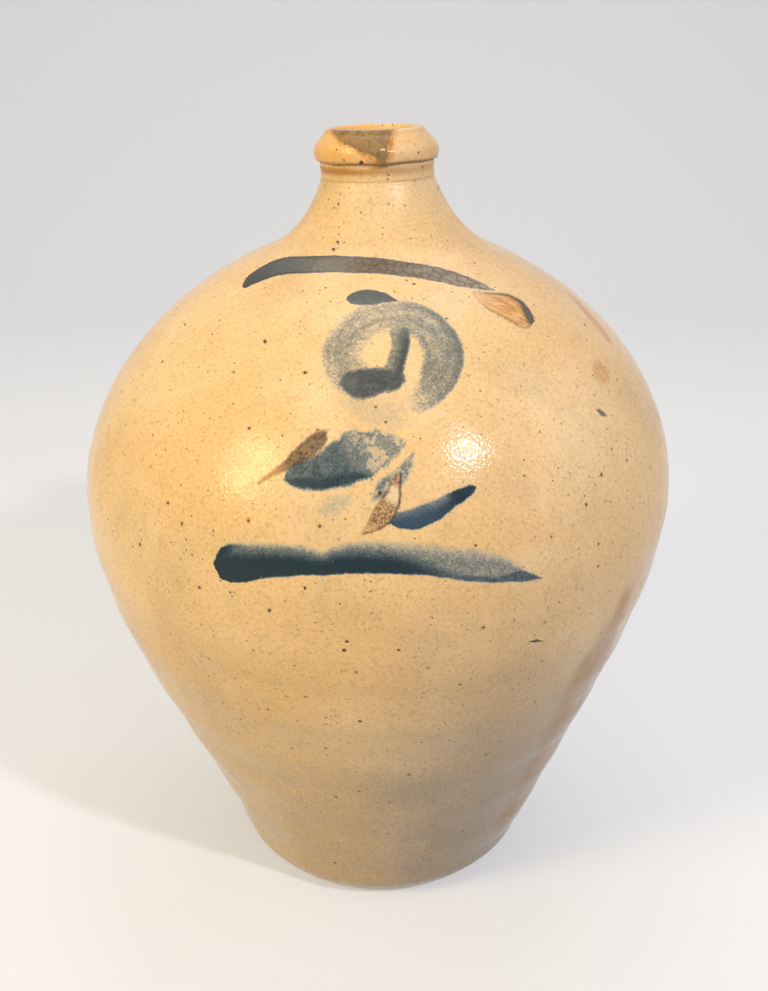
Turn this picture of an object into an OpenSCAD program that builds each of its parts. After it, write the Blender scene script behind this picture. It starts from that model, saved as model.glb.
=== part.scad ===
// Two-gallon ovoid stoneware jug: a thrown body, a folded lip and a pulled strap handle.
// It stands on the XY plane with its axis on Z. The decorated front faces -Y, the handle is at +Y.

/* [Body] */
// Height from the foot to the top of the lip
jug_h = 343; // [340:0.5:347]
// Radius of the flat base
foot_r = 59.5; // [56:0.5:62]
// Radius where the rounded heel runs into the wall
heel_r = 70.75; // [68:0.25:74]
// Height where the rounded heel runs into the wall
heel_z = 12; // [9:0.5:15]
// Angle at which the wall leaves the heel, from upright
wall_flare = 20; // [17:1:23]
// Radius of the belly at its widest
belly_r = 131; // [125:0.5:138]
// Height of the widest part of the belly
belly_z = 191.5; // [184:0.5:198]
// Radius where the shoulder turns up into the neck
shoulder_r = 47.5; // [44:0.5:52]
// Distance from the top of the jug down to where the shoulder turns up into the neck
shoulder_drop = 48; // [44:0.5:53]
// Angle of the shoulder there, from level
shoulder_slope = 23; // [19:1:27]
// Thickness of the thrown wall
wall_t = 8.5; // [7:0.25:10]
// Thickness of the floor
floor_t = 11; // [8:0.5:14]
// Radius of the corner between floor and wall inside
floor_corner = 26; // [20:1:32]

/* [Neck] */
// Radius of the neck at its narrowest
neck_r = 24.8; // [24.2:0.1:24.9]
// Distance from the top of the jug down to the narrowest part of the neck
neck_drop = 18.5; // [17.5:0.25:20]
// Radius of the straight mouth that a cork fits
mouth_r = 15; // [13:0.25:16]
// Length of the straight mouth under the fold of the lip
mouth_l = 24.8; // [21:0.2:28]
// Width of the line turned round the neck
line_w = 1.2; // [0.8:0.1:1.6]
// Depth of the line turned round the neck
line_d = 0.35; // [0.2:0.05:0.6]
// Height of the bead under the lip
bead_h = 3.2; // [2.4:0.1:3.6]
// How far the bead stands out from the neck
bead_d = 0.6; // [0.4:0.05:0.7]

/* [Lip] */
// Height of the folded lip
lip_h = 12.4; // [11.6:0.1:13]
// Outer radius of the lip at its widest
lip_r = 26.6; // [26.4:0.1:28]
// Distance from the top of the lip down to its widest part
lip_wide_drop = 9.2; // [7.5:0.1:10]
// Outer radius of the lip's top edge
lip_top_r = 21; // [20:0.25:22.5]
// Radius of the rounding of the lip's top edge
lip_round = 1.6; // [1:0.1:2.2]
// Thickness of the fold over the end of the neck
fold_t = 4.2; // [3.4:0.1:5]
// Outer radius of the neck inside the fold
seat_r = 19.5; // [18.5:0.25:20.5]
// Flare of the mouth at the top of the fold
mouth_flare = 2.4; // [1.5:0.1:3]
// How far the lip's lower edge wanders up and down
hem_wave = 0.55; // [0.2:0.05:0.9]
// How far the lip's lower edge droops at the front
hem_droop = 1.1; // [0.4:0.05:1.4]
// Width of that droop along the edge
hem_droop_w = 7; // [4:0.5:12]
// Where that droop is on the round, as an angle from +X
hem_droop_angle = 268; // [250:1:290]

/* [Handle] */
// Width of the strap where it leaves the neck
strap_top_w = 34; // [30:0.5:37]
// Width of the strap at its lower end
strap_low_w = 30; // [26:0.5:33]
// Thickness of the strap where it leaves the neck
strap_top_t = 13; // [11:0.5:15]
// Thickness of the strap at its lower end
strap_low_t = 10.5; // [9:0.5:12]
// Distance from the top of the jug down to where the strap's middle line meets the neck
strap_root_drop = 27; // [26:0.5:29]
// Distance from the axis to where the middle line meets the shoulder, as a share of the belly
strap_foot_share = 0.687; // [0.66:0.001:0.71]
// How far the strap swings out beyond its lower end
strap_bulge = 9; // [5:0.5:13]
// Place of that outermost point, as a share of the way up from the lower end to the root
strap_reach_share = 0.565; // [0.48:0.005:0.65]
// How high the strap climbs above its root before it turns down
strap_climb = 21; // [16:0.5:24]
// Depth of the groove that the fingers leave along the strap
strap_groove = 1.5; // [0.8:0.1:2]
// Width of that groove
strap_groove_w = 9; // [6:0.5:12]
// Thickness of the clay smeared round the upper joint
root_clay_t = 3.2; // [2.4:0.1:3.6]
// How far that clay runs out along the strap
root_clay_run = 11; // [8:0.5:14]
// Thickness of the clay smeared round the lower joint
tail_clay_t = 5; // [4:0.25:6]
// How far that clay runs up the strap
tail_clay_run = 14; // [10:0.5:18]
// Thickness of the smeared clay where it ends on the strap
clay_edge_t = 0.6; // [0.4:0.05:0.9]

/* [Hidden] */

clay_colour = "burlywood";
lip_colour = "sandybrown";
handle_colour = "tan";
smear_colour = "peru";

// Sides of the turned forms, and shares of each curve's span at which its tangents act
turned_sides = 120;
wall_low_share = 0.44;
wall_high_share = 0.28;
shoulder_high_share = 0.28;
shoulder_low_share = 0.84;
neck_low_share = 0.82;
neck_high_share = 0.04;
heel_share = 0.24;
corner_share = 0.5;

// Finest parts of the turned outline under the lip
shelf_drop = 0.6;
fold_gap = 0.15;
bead_round_share = 0.3;

shoulder_z = jug_h - shoulder_drop;
neck_z = jug_h - neck_drop;
seat_top_z = jug_h - fold_t;
mouth_low_z = seat_top_z - mouth_l;
hem_z = jug_h - lip_h;
shelf_z = hem_z + hem_wave + 2 * shelf_drop;
bead_top_z = hem_z - hem_wave;
bead_low_z = bead_top_z - bead_h;
line_z = neck_z - line_w;

// A point on a cubic curve, the curve's direction there, and a point beside it on the left
function cubic(c, t) =
    pow(1 - t, 3) * c[0] + 3 * pow(1 - t, 2) * t * c[1] + 3 * (1 - t) * t * t * c[2] + pow(t, 3) * c[3];
function cubic_dir(c, t) = let (
    d = pow(1 - t, 2) * (c[1] - c[0]) + 2 * (1 - t) * t * (c[2] - c[1]) + t * t * (c[3] - c[2])
) d / norm(d);
function beside(c, t, off) = cubic(c, t) + off * [-cubic_dir(c, t)[1], cubic_dir(c, t)[0]];
function steps(n) = [for (i = [0 : n]) i / n];

// The outer profile, in [radius, height], runs up four curves: heel, wall, shoulder and neck
heel = [heel_r, heel_z];
belly = [belly_r, belly_z];
turn = [shoulder_r, shoulder_z];
waist = [neck_r, line_z - line_w];
heel_dir = [sin(wall_flare), cos(wall_flare)];
turn_dir = [-cos(shoulder_slope), sin(shoulder_slope)];
up = [0, 1];

heel_curve = [
    [foot_r, 0],
    [foot_r + (heel_r - foot_r) * heel_share, 0],
    heel - heel_dir * heel_z * heel_share,
    heel
];
wall_curve = [
    heel,
    heel + heel_dir * (belly_z - heel_z) * wall_low_share,
    belly - up * (belly_z - heel_z) * wall_high_share,
    belly
];
shoulder_curve = [
    belly,
    belly + up * (shoulder_z - belly_z) * shoulder_high_share,
    turn - turn_dir * (belly_r - shoulder_r) * shoulder_low_share,
    turn
];
neck_curve = [
    turn,
    turn + turn_dir * (shoulder_r - neck_r) * neck_low_share,
    waist - up * (neck_z - shoulder_z) * neck_high_share,
    waist
];

heel_steps = steps(6);
wall_steps = steps(22);
shoulder_steps = steps(24);
neck_steps = steps(14);

// Above the waist: the turned line, the bead, the shelf under the lip and the seat of the fold
neck_top = [
    [neck_r, line_z - line_w / 2],
    [neck_r - line_d, line_z],
    [neck_r, line_z + line_w / 2],
    [neck_r, bead_low_z],
    [neck_r + bead_d, bead_low_z + bead_h * bead_round_share],
    [neck_r + bead_d, bead_top_z - bead_h * bead_round_share],
    [neck_r, bead_top_z],
    [neck_r, shelf_z - shelf_drop],
    [seat_r, shelf_z],
    [seat_r, seat_top_z]
];

outer_profile = concat(
    [for (t = heel_steps) cubic(heel_curve, t)],
    [for (t = wall_steps) if (t > 0) cubic(wall_curve, t)],
    [for (t = shoulder_steps) if (t > 0) cubic(shoulder_curve, t)],
    [for (t = neck_steps) if (t > 0) cubic(neck_curve, t)],
    neck_top
);

// The inner profile keeps the wall's thickness, with its own throat under the straight mouth
function inside_wall(t) = beside(wall_curve, t, wall_t);
corner_t = [for (t = wall_steps) if (inside_wall(t)[1] > floor_t + floor_corner) t][0];
corner_curve = [
    [inside_wall(corner_t)[0] - floor_corner, floor_t],
    [inside_wall(corner_t)[0] - floor_corner * corner_share, floor_t],
    inside_wall(corner_t) - cubic_dir(wall_curve, corner_t) * floor_corner * corner_share,
    inside_wall(corner_t)
];
throat_low = beside(neck_curve, 0, wall_t);
throat_curve = [
    throat_low,
    throat_low + turn_dir * (throat_low[0] - mouth_r) * neck_low_share,
    [mouth_r, mouth_low_z] - up * (mouth_low_z - throat_low[1]) * neck_high_share,
    [mouth_r, mouth_low_z]
];

inner_profile = concat(
    [[0, floor_t]],
    [for (t = heel_steps) cubic(corner_curve, t)],
    [for (t = wall_steps) if (t > corner_t) inside_wall(t)],
    [for (t = shoulder_steps) if (t > 0 && t < 1) beside(shoulder_curve, t, wall_t)],
    [for (t = heel_steps) cubic(throat_curve, t)],
    [[mouth_r, seat_top_z]]
);

function reversed(list) = [for (i = [len(list) - 1 : -1 : 0]) list[i]];

// A closed skin over equal rings of points, the first and last filled flat
module skin_rings(rings) {
    n = len(rings[0]);
    last = (len(rings) - 1) * n;
    polyhedron(
        points = [for (ring = rings) for (p = ring) p],
        faces = concat(
            [[for (k = [0 : n - 1]) k]],
            [for (i = [0 : len(rings) - 2]) for (k = [0 : n - 1])
                [i * n + k, (i + 1) * n + k, (i + 1) * n + (k + 1) % n]],
            [for (i = [0 : len(rings) - 2]) for (k = [0 : n - 1])
                [i * n + k, (i + 1) * n + (k + 1) % n, i * n + (k + 1) % n]],
            [[for (k = [n - 1 : -1 : 0]) last + k]]
        )
    );
}

// A closed ring of equal sections, each joined to the next and the last to the first
module ring_of_sections(sections) {
    n = len(sections[0]);
    m = len(sections);
    polyhedron(
        points = [for (section = sections) for (p = section) p],
        faces = concat(
            [for (i = [0 : m - 1]) for (k = [0 : n - 1])
                [i * n + k, ((i + 1) % m) * n + (k + 1) % n, ((i + 1) % m) * n + k]],
            [for (i = [0 : m - 1]) for (k = [0 : n - 1])
                [i * n + k, i * n + (k + 1) % n, ((i + 1) % m) * n + (k + 1) % n]]
        )
    );
}

// The jug as a full form without its hollow, which seats the lip, the handle and the smeared clay
module full_form() {
    rotate_extrude($fn = turned_sides) polygon(concat([[0, 0]], outer_profile, [[0, seat_top_z]]));
}

module thrown_body() {
    color(clay_colour)
        rotate_extrude($fn = turned_sides)
            polygon(concat([[0, 0]], outer_profile, reversed(inner_profile)));
}

// The lip: the neck's end folded out and down. Its lower edge wanders, and droops at the front
lip_sides = 72;
wave_counts = [3, 5, 11];
wave_turns = [20, 140, 75];
wave_shares = [0.5, 0.3, 0.2];

function wander(a) = hem_wave * (
    wave_shares[0] * sin(wave_counts[0] * a + wave_turns[0])
    + wave_shares[1] * sin(wave_counts[1] * a + wave_turns[1])
    + wave_shares[2] * sin(wave_counts[2] * a + wave_turns[2])
);
function along_edge(a) = lip_r * (a - hem_droop_angle) * PI / 180;
function droop(a) = hem_droop * exp(-pow(along_edge(a) / (hem_droop_w / 2), 2));
function hem_at(a) = hem_z + wander(a) - droop(a);

wide_z = jug_h - lip_wide_drop;
flare_shares = [0.2, 0.55];
flare_rise_shares = [0.4, 0.8];
edge_in_share = 0.35;
edge_down_share = 0.25;
side_swell_share = 0.12;
roll_share = 0.45;
roll_in_shares = [0.06, 0.25];

// The fold's inner side clears the bead, and its flats lie just outside the neck's round seat
fold_in_r = neck_r + bead_d + fold_gap;
fold_seat_r = seat_r / cos(180 / lip_sides);
fold_seat_z = shelf_z - shelf_drop * (fold_in_r - seat_r) / (neck_r - seat_r);
side_top = [lip_top_r, jug_h - lip_round];
side_low = [lip_r - lip_round * edge_in_share, wide_z + lip_round];

function lip_section(a) = let (hem = hem_at(a), roll = wide_z - hem) [
    [fold_seat_r, shelf_z],
    [fold_seat_r, seat_top_z],
    [mouth_r, seat_top_z],
    [mouth_r + mouth_flare * flare_shares[0], seat_top_z + fold_t * flare_rise_shares[0]],
    [mouth_r + mouth_flare * flare_shares[1], seat_top_z + fold_t * flare_rise_shares[1]],
    [mouth_r + mouth_flare, jug_h],
    [lip_top_r - lip_round, jug_h],
    side_top + lip_round * [-edge_in_share, 1 - edge_down_share],
    side_top,
    (side_top + side_low) / 2 + [lip_round * side_swell_share, 0],
    side_low,
    [lip_r, wide_z],
    [lip_r - lip_round * roll_in_shares[0], wide_z - roll * roll_share],
    [lip_r - lip_round * roll_in_shares[1], hem],
    [fold_in_r, hem],
    [fold_in_r, fold_seat_z]
];

module folded_lip() {
    color(lip_colour)
        ring_of_sections([for (i = [0 : lip_sides - 1]) let (a = 360 * i / lip_sides)
            [for (p = lip_section(a)) [p[0] * cos(a), p[0] * sin(a), p[1]]]]);
}

// The strap's middle line, in [distance from the axis, height], leaves the neck, climbs, turns
// over and comes down on the shoulder. Both ends run into the clay of the body
function height_on_shoulder(r) = let (
    t = [for (t = steps(200)) if (cubic(shoulder_curve, t)[0] >= r) t]
) cubic(shoulder_curve, t[len(t) - 1])[1];
strap_foot_y = belly_r * strap_foot_share;
strap_foot_z = height_on_shoulder(strap_foot_y);
strap_root_z = jug_h - strap_root_drop;
strap_reach_z = mix(strap_foot_z, strap_root_z, strap_reach_share);
climb_slope_share = 0.55;
rise_shares = [1.1, 1.5];
fall_shares = [0.5, 0.35];
foot_sink_share = 0.9;
root_y = sqrt(neck_r * neck_r - pow(strap_top_w / 2 + root_clay_t, 2));
root_sink = neck_r - root_y;
foot_sink = wall_t * foot_sink_share;
climb_dir = [1, climb_slope_share];
foot_dir = [-sin(shoulder_slope), -cos(shoulder_slope)];
root = [root_y, strap_root_z - root_sink * climb_slope_share];
reach = [strap_foot_y + strap_bulge, strap_reach_z];
foot = [strap_foot_y, strap_foot_z];

rise_curve = [
    root,
    root + climb_dir * (root_sink + strap_climb * rise_shares[0]),
    reach + up * strap_climb * rise_shares[1],
    reach
];
fall_curve = [
    reach,
    reach - up * (strap_reach_z - strap_foot_z) * fall_shares[0],
    foot - foot_dir * (strap_reach_z - strap_foot_z) * fall_shares[1],
    foot + foot_dir * foot_sink
];

rise_steps = 26;
fall_steps = 12;
strap_stations = rise_steps + fall_steps;
section_sides = 28;
roundness_share = 0.72;

function strap_point(i) = i <= rise_steps
    ? cubic(rise_curve, i / rise_steps)
    : cubic(fall_curve, (i - rise_steps) / fall_steps);
function strap_dir(i) = i <= rise_steps
    ? cubic_dir(rise_curve, i / rise_steps)
    : cubic_dir(fall_curve, (i - rise_steps) / fall_steps);
function mix(a, b, t) = a + (b - a) * t;
function strap_w(i) = mix(strap_top_w, strap_low_w, i / strap_stations);
function strap_t(i) = mix(strap_top_t, strap_low_t, i / strap_stations);
function rounded(v) = sign(v) * pow(abs(v), roundness_share);

// One section of the strap: a flat oval with the groove on its outer side, grown for the clay
function strap_section(i, grow) = let (
    mid = strap_point(i),
    dir = strap_dir(i),
    w = strap_w(i) / 2 + grow,
    t = strap_t(i) / 2 + grow
) [for (k = [0 : section_sides - 1]) let (
    a = 360 * k / section_sides,
    across = w * rounded(cos(a)),
    dip = sin(a) > 0 ? strap_groove * exp(-pow(across / (strap_groove_w / 2), 2)) : 0,
    off = t * rounded(sin(a)) - dip
) [across, mid[0] - dir[1] * off, mid[1] + dir[0] * off]];

module strap_solid() {
    skin_rings([for (i = [0 : strap_stations]) strap_section(i, 0)]);
}

module strap_handle() {
    color(handle_colour)
        difference() {
            strap_solid();
            full_form();
        }
}

// Clay smeared round the strap where it leaves the neck, thinning out along it
function thinning(s, full_t) = mix(full_t, clay_edge_t, sqrt(max(s, 0)));
function run_between(i, j) = i >= j
    ? 0
    : norm(strap_point(i + 1) - strap_point(i)) + run_between(i + 1, j);

module smear(first, last, full_t, sink, backwards) {
    whole = run_between(first, last) - sink;
    grown = [for (i = [first : last]) let (
        run = backwards ? run_between(i, last) : run_between(first, i)
    ) strap_section(i, thinning((run - sink) / whole, full_t))];
    bare = [for (i = [last : -1 : first]) strap_section(i, 0)];
    difference() {
        ring_of_sections([for (k = [0 : section_sides - 1])
            concat([for (ring = grown) ring[k]], [for (ring = bare) ring[k]])]);
        full_form();
    }
}

root_last = len([for (i = [0 : strap_stations])
    if (run_between(0, i) <= root_sink + root_clay_run) i]);
tail_first = strap_stations - len([for (i = [0 : strap_stations])
    if (run_between(i, strap_stations) <= foot_sink + tail_clay_run) i]);

module upper_joint_clay() {
    color(smear_colour) smear(0, root_last, root_clay_t, root_sink, false);
}

module lower_joint_clay() {
    color(smear_colour) smear(tail_first, strap_stations, tail_clay_t, foot_sink, true);
}

thrown_body();
folded_lip();
strap_handle();
upper_joint_clay();
lower_joint_clay();
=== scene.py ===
import math

import bpy
import numpy as np
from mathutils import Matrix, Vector


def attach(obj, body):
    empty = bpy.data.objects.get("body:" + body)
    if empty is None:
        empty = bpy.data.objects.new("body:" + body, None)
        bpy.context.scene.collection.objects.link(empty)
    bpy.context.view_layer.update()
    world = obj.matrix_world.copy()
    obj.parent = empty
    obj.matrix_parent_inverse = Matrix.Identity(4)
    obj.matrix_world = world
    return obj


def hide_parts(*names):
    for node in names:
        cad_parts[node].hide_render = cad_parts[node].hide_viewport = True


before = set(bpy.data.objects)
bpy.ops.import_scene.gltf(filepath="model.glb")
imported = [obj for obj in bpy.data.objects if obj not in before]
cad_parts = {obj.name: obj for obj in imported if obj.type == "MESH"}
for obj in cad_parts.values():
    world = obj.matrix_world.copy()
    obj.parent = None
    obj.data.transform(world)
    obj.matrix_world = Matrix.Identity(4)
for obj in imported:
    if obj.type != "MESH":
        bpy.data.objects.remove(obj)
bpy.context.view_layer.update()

mm = 0.001


# The camera and the studio.
# The jug stands on a pale seamless sheet, lit by two soft boxes, a wide lamp overhead and the room.
# The camera looks down at it from arm's length, a little above the lip.
camera_away = 480 * mm
camera_height = 374.6 * mm
camera_pitch = math.radians(22.2)
camera_lens = 40.2
camera_sensor = 36
photo_height_px = 991
axis_left_of_middle_px = 5.5

bpy.ops.object.select_all(action="DESELECT")
bpy.ops.object.camera_add(
    location=(0, -camera_away, camera_height),
    rotation=(math.pi / 2 - camera_pitch, 0, 0),
)
camera = bpy.context.object
camera.data.lens = camera_lens
camera.data.sensor_width = camera_sensor
camera.data.shift_x = axis_left_of_middle_px / photo_height_px
bpy.context.scene.camera = camera
bpy.context.scene.view_settings.view_transform = "Standard"


lamps_aim = Vector((0, 0, 0.2))


def soft_box(name, place, size, watts, colour):
    """A soft box of a width and height at a place, turned to face the jug."""
    bpy.ops.object.light_add(type="AREA", location=place)
    lamp = bpy.context.object
    lamp.name = name
    lamp.rotation_euler = (lamps_aim - Vector(place)).to_track_quat("-Z", "Y").to_euler()
    lamp.data.shape = "RECTANGLE"
    lamp.data.size, lamp.data.size_y = size
    lamp.data.energy = watts
    lamp.data.color = colour


soft_box("warm_box", (-0.95, -0.73, 0.85), (0.36, 0.5), 11.8, (1.0, 0.82, 0.4))
soft_box("cool_box", (0.75, -0.95, 1.18), (0.08, 0.08), 12.2, (0.94, 0.93, 1.0))
soft_box("top_box", (0.1, 0.6, 1.6), (1.2, 1.2), 8.5, (1.0, 0.96, 0.92))

world = bpy.data.worlds.new("room")
world.use_nodes = True
bpy.context.scene.world = world
room = world.node_tree.nodes["Background"]
room_colour = (0.97, 0.96, 1.0, 1)
room_light = 0.42
room_seen = 0.64
room.inputs["Color"].default_value = room_colour


def seen_ray(tree):
    """1 for a ray that looks, straight, in a mirror or through glass, and 0 for one that lights."""
    path = tree.nodes.new("ShaderNodeLightPath")
    seen = path.outputs["Is Camera Ray"]
    for kind in ("Is Glossy Ray", "Is Transmission Ray"):
        either = tree.nodes.new("ShaderNodeMath")
        either.operation = "ADD"
        either.use_clamp = True
        tree.links.new(seen, either.inputs[0])
        tree.links.new(path.outputs[kind], either.inputs[1])
        seen = either.outputs[0]
    return seen


def when_seen(tree, extra, base, target):
    """Feeds a base value, and a value more for a ray that looks."""
    value = tree.nodes.new("ShaderNodeMath")
    value.operation = "MULTIPLY_ADD"
    tree.links.new(seen_ray(tree), value.inputs[0])
    value.inputs[1].default_value = extra
    value.inputs[2].default_value = base
    tree.links.new(value.outputs[0], target)


when_seen(world.node_tree, room_seen - room_light, room_light, room.inputs["Strength"])


# The sheet that the jug stands on.
# A wide roll of pale paper that lies flat under the jug and curves up behind it.
# It is part of the studio and not of the jug.
sheet_width = 7.0
sheet_front = -2.5
sheet_back = 1.1
sheet_curve = 0.9
sheet_top = 3.0
curve_steps = 16
paper_dark = (0.46, 0.46, 0.46, 1)
paper_light = (0.51, 0.51, 0.51, 1)
paper_glow_colour = (0.96, 0.97, 1.0, 1)
paper_glow = 0.36
paper_roughness = 0.9
fibres_per_metre = 900

bpy.ops.mesh.primitive_plane_add(size=1, location=(0, (sheet_front + sheet_back) / 2, 0))
paper = bpy.context.object
paper.name = "paper_sheet"
paper.scale = (sheet_width, sheet_back - sheet_front, 1)
bpy.ops.object.transform_apply(location=True, rotation=True, scale=True)
bpy.ops.object.mode_set(mode="EDIT")
bpy.ops.mesh.select_all(action="DESELECT")
bpy.ops.object.mode_set(mode="OBJECT")
for vertex in paper.data.vertices:
    vertex.select = vertex.co.y > sheet_back - mm
bpy.ops.object.mode_set(mode="EDIT")
bpy.ops.mesh.select_mode(type="VERT")
stride = sheet_curve * math.pi / 2 / curve_steps
for step in range(curve_steps):
    turn = math.pi / 2 * (step + 0.5) / curve_steps
    bpy.ops.mesh.extrude_edges_move(
        TRANSFORM_OT_translate={"value": (0, stride * math.cos(turn), stride * math.sin(turn))}
    )
bpy.ops.mesh.extrude_edges_move(TRANSFORM_OT_translate={"value": (0, 0, sheet_top - sheet_curve)})
bpy.ops.object.mode_set(mode="OBJECT")
bpy.ops.object.shade_smooth()

paper_finish = bpy.data.materials.new("pale_paper")
paper_finish.use_nodes = True
paper_nodes = paper_finish.node_tree.nodes
paper_shader = paper_nodes["Principled BSDF"]
paper_shader.inputs["Roughness"].default_value = paper_roughness
paper_shader.inputs["Emission Color"].default_value = paper_glow_colour
paper_fibre = paper_nodes.new("ShaderNodeTexNoise")
paper_fibre.inputs["Scale"].default_value = fibres_per_metre
paper_fibre.inputs["Detail"].default_value = 4
paper_tone = paper_nodes.new("ShaderNodeMix")
paper_tone.data_type = "RGBA"
paper_tone.inputs[6].default_value = paper_dark
paper_tone.inputs[7].default_value = paper_light
when_seen(paper_finish.node_tree, paper_glow, 0.0, paper_shader.inputs["Emission Strength"])
paper_finish.node_tree.links.new(
    paper_nodes.new("ShaderNodeTexCoord").outputs["Object"], paper_fibre.inputs["Vector"])
paper_finish.node_tree.links.new(paper_fibre.outputs["Fac"], paper_tone.inputs[0])
paper_finish.node_tree.links.new(paper_tone.outputs[2], paper_shader.inputs["Base Color"])
paper.data.materials.append(paper_finish)


# The thrown body: floor, wall, shoulder and neck of tan stoneware, one hollow form.
# It was drawn up on the wheel, so it carries faint throwing rings and is a little out of true.
# The profile is the one that the solid has, in radius and height.
jug_height = 343 * mm
foot_radius = 59.5 * mm
heel = Vector((70.75, 12)) * mm
belly = Vector((131, 191.5)) * mm
shoulder_turn = Vector((47.5, 295)) * mm
neck_radius = 24.8 * mm
line_height = 323.3 * mm
line_width = 1.2 * mm
line_depth = 0.3 * mm
bead_low = 326.85 * mm
bead_width = 3.2 * mm
bead_rise = 0.35 * mm
shelf_height = 332.35 * mm
seat_radius = 19.5 * mm
seat_top = 338.8 * mm
wall = 8.5 * mm
floor_thickness = 11 * mm
floor_corner = 26 * mm
mouth_radius = 15 * mm
mouth_low = 314 * mm
wall_flare = math.radians(20)
shoulder_slope = math.radians(23)
steps_round = 288
heel_steps = 12
wall_steps = 72
shoulder_steps = 56
neck_steps = 22
bead_steps = 9
inner_steps = 16
throat_steps = 10
corner_steps = 6
ring_pitch = 31 * mm
fine_ring_pitch = 12.5 * mm
ring_rise = 0.28 * mm
fine_ring_rise = 0.08 * mm
neck_pinch = 1.3 * mm
pinch_height = 328 * mm
pinch_spread = 7 * mm
out_of_round = 0.45 * mm


def cubic(points, t):
    """A point on a cubic curve."""
    a, b, c, d = points
    return (1 - t) ** 3 * a + 3 * (1 - t) ** 2 * t * b + 3 * (1 - t) * t * t * c + t ** 3 * d


def cubic_side(points, t):
    """The direction to the left of a cubic curve, which is inwards on the way up the wall."""
    a, b, c, d = points
    way = (1 - t) ** 2 * (b - a) + 2 * (1 - t) * t * (c - b) + t * t * (d - c)
    way.normalize()
    return Vector((-way.y, way.x))


# How far the curves' handles pull, as shares of each curve's width or height.
heel_pull = 0.24
wall_low_pull = 0.44
belly_pull = 0.28
shoulder_pull = 0.84
neck_low_pull = 0.82
neck_high_pull = 0.04

upright = Vector((0, 1))
heel_way = Vector((math.sin(wall_flare), math.cos(wall_flare)))
turn_way = Vector((-math.cos(shoulder_slope), math.sin(shoulder_slope)))
waist = Vector((neck_radius, line_height - line_width))
heel_curve = (
    Vector((foot_radius, 0)),
    Vector((foot_radius + (heel.x - foot_radius) * heel_pull, 0)),
    heel - heel_way * heel.y * heel_pull,
    heel,
)
wall_curve = (
    heel,
    heel + heel_way * (belly.y - heel.y) * wall_low_pull,
    belly - upright * (belly.y - heel.y) * belly_pull,
    belly,
)
shoulder_curve = (
    belly,
    belly + upright * (shoulder_turn.y - belly.y) * belly_pull,
    shoulder_turn - turn_way * (belly.x - shoulder_turn.x) * shoulder_pull,
    shoulder_turn,
)
neck_curve = (
    shoulder_turn,
    shoulder_turn + turn_way * (shoulder_turn.x - neck_radius) * neck_low_pull,
    waist - upright * (line_height + line_width - shoulder_turn.y) * neck_high_pull,
    waist,
)


def along(points, count, first=1):
    """Points along a cubic curve, without its start unless first is 0."""
    return [cubic(points, i / count) for i in range(first, count + 1)]


outside = along(heel_curve, heel_steps, 0) + along(wall_curve, wall_steps)
outside += along(shoulder_curve, shoulder_steps) + along(neck_curve, neck_steps)
outside += [
    Vector((neck_radius, line_height - line_width / 2)),
    Vector((neck_radius - line_depth * 0.8, line_height - line_width / 6)),
    Vector((neck_radius - line_depth, line_height)),
    Vector((neck_radius - line_depth * 0.5, line_height + line_width / 5)),
    Vector((neck_radius, line_height + line_width / 2)),
    Vector((neck_radius, bead_low)),
]
outside += [
    Vector((
        neck_radius + bead_rise * math.sin(math.pi * i / bead_steps) ** 0.6,
        bead_low + bead_width * i / bead_steps,
    ))
    for i in range(1, bead_steps)
]
outside += [
    Vector((neck_radius, bead_low + bead_width)),
    Vector((neck_radius, shelf_height - 0.6 * mm)),
    Vector((seat_radius, shelf_height)),
    Vector((seat_radius, seat_top)),
]

# The inside runs parallel to the outside, a wall's thickness in, down to the floor's corner.
corner_share = 0.2
corner_low_pull = 0.4
corner_high_pull = 0.5
corner_end = cubic(wall_curve, corner_share) + cubic_side(wall_curve, corner_share) * wall
corner_curve = (
    Vector((corner_end.x - floor_corner, floor_thickness)),
    Vector((corner_end.x - floor_corner * corner_low_pull, floor_thickness)),
    corner_end - heel_way * floor_corner * corner_high_pull,
    corner_end,
)
throat_low = shoulder_turn + cubic_side(neck_curve, 0) * wall
throat_curve = (
    throat_low,
    throat_low + turn_way * (throat_low.x - mouth_radius) * neck_low_pull,
    Vector((mouth_radius, mouth_low)) - upright * (mouth_low - throat_low.y) * neck_high_pull,
    Vector((mouth_radius, mouth_low)),
)


def inner_side(curve, start, end):
    """Points a wall's thickness inside a curve, from one share of it to another, the first left out."""
    shares = [start + (end - start) * i / inner_steps for i in range(1, inner_steps + 1)]
    return [cubic(curve, share) + cubic_side(curve, share) * wall for share in shares]


inside = [Vector((mouth_radius, seat_top))]
inside += along(throat_curve, throat_steps, 0)[::-1]
inside += inner_side(shoulder_curve, 1, 0) + inner_side(wall_curve, 1, corner_share)
inside += along(corner_curve, corner_steps, 0)[-2::-1]


def draw_line(name, points, start):
    """A new mesh of one line of vertices: a vertex is set down and drawn out point by point."""
    bpy.ops.object.select_all(action="DESELECT")
    bpy.ops.mesh.primitive_plane_add(size=mm, location=start)
    piece = bpy.context.object
    piece.name = name
    bpy.ops.object.transform_apply(location=True, rotation=True, scale=True)
    bpy.ops.object.mode_set(mode="EDIT")
    bpy.ops.mesh.select_all(action="SELECT")
    bpy.ops.mesh.merge(type="CENTER")
    here = Vector(start)
    for point in points:
        step = Vector(point) - here
        bpy.ops.mesh.extrude_vertices_move(TRANSFORM_OT_translate={"value": step})
        here = Vector(point)
    return piece


weld_distance = 0.02 * mm


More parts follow.
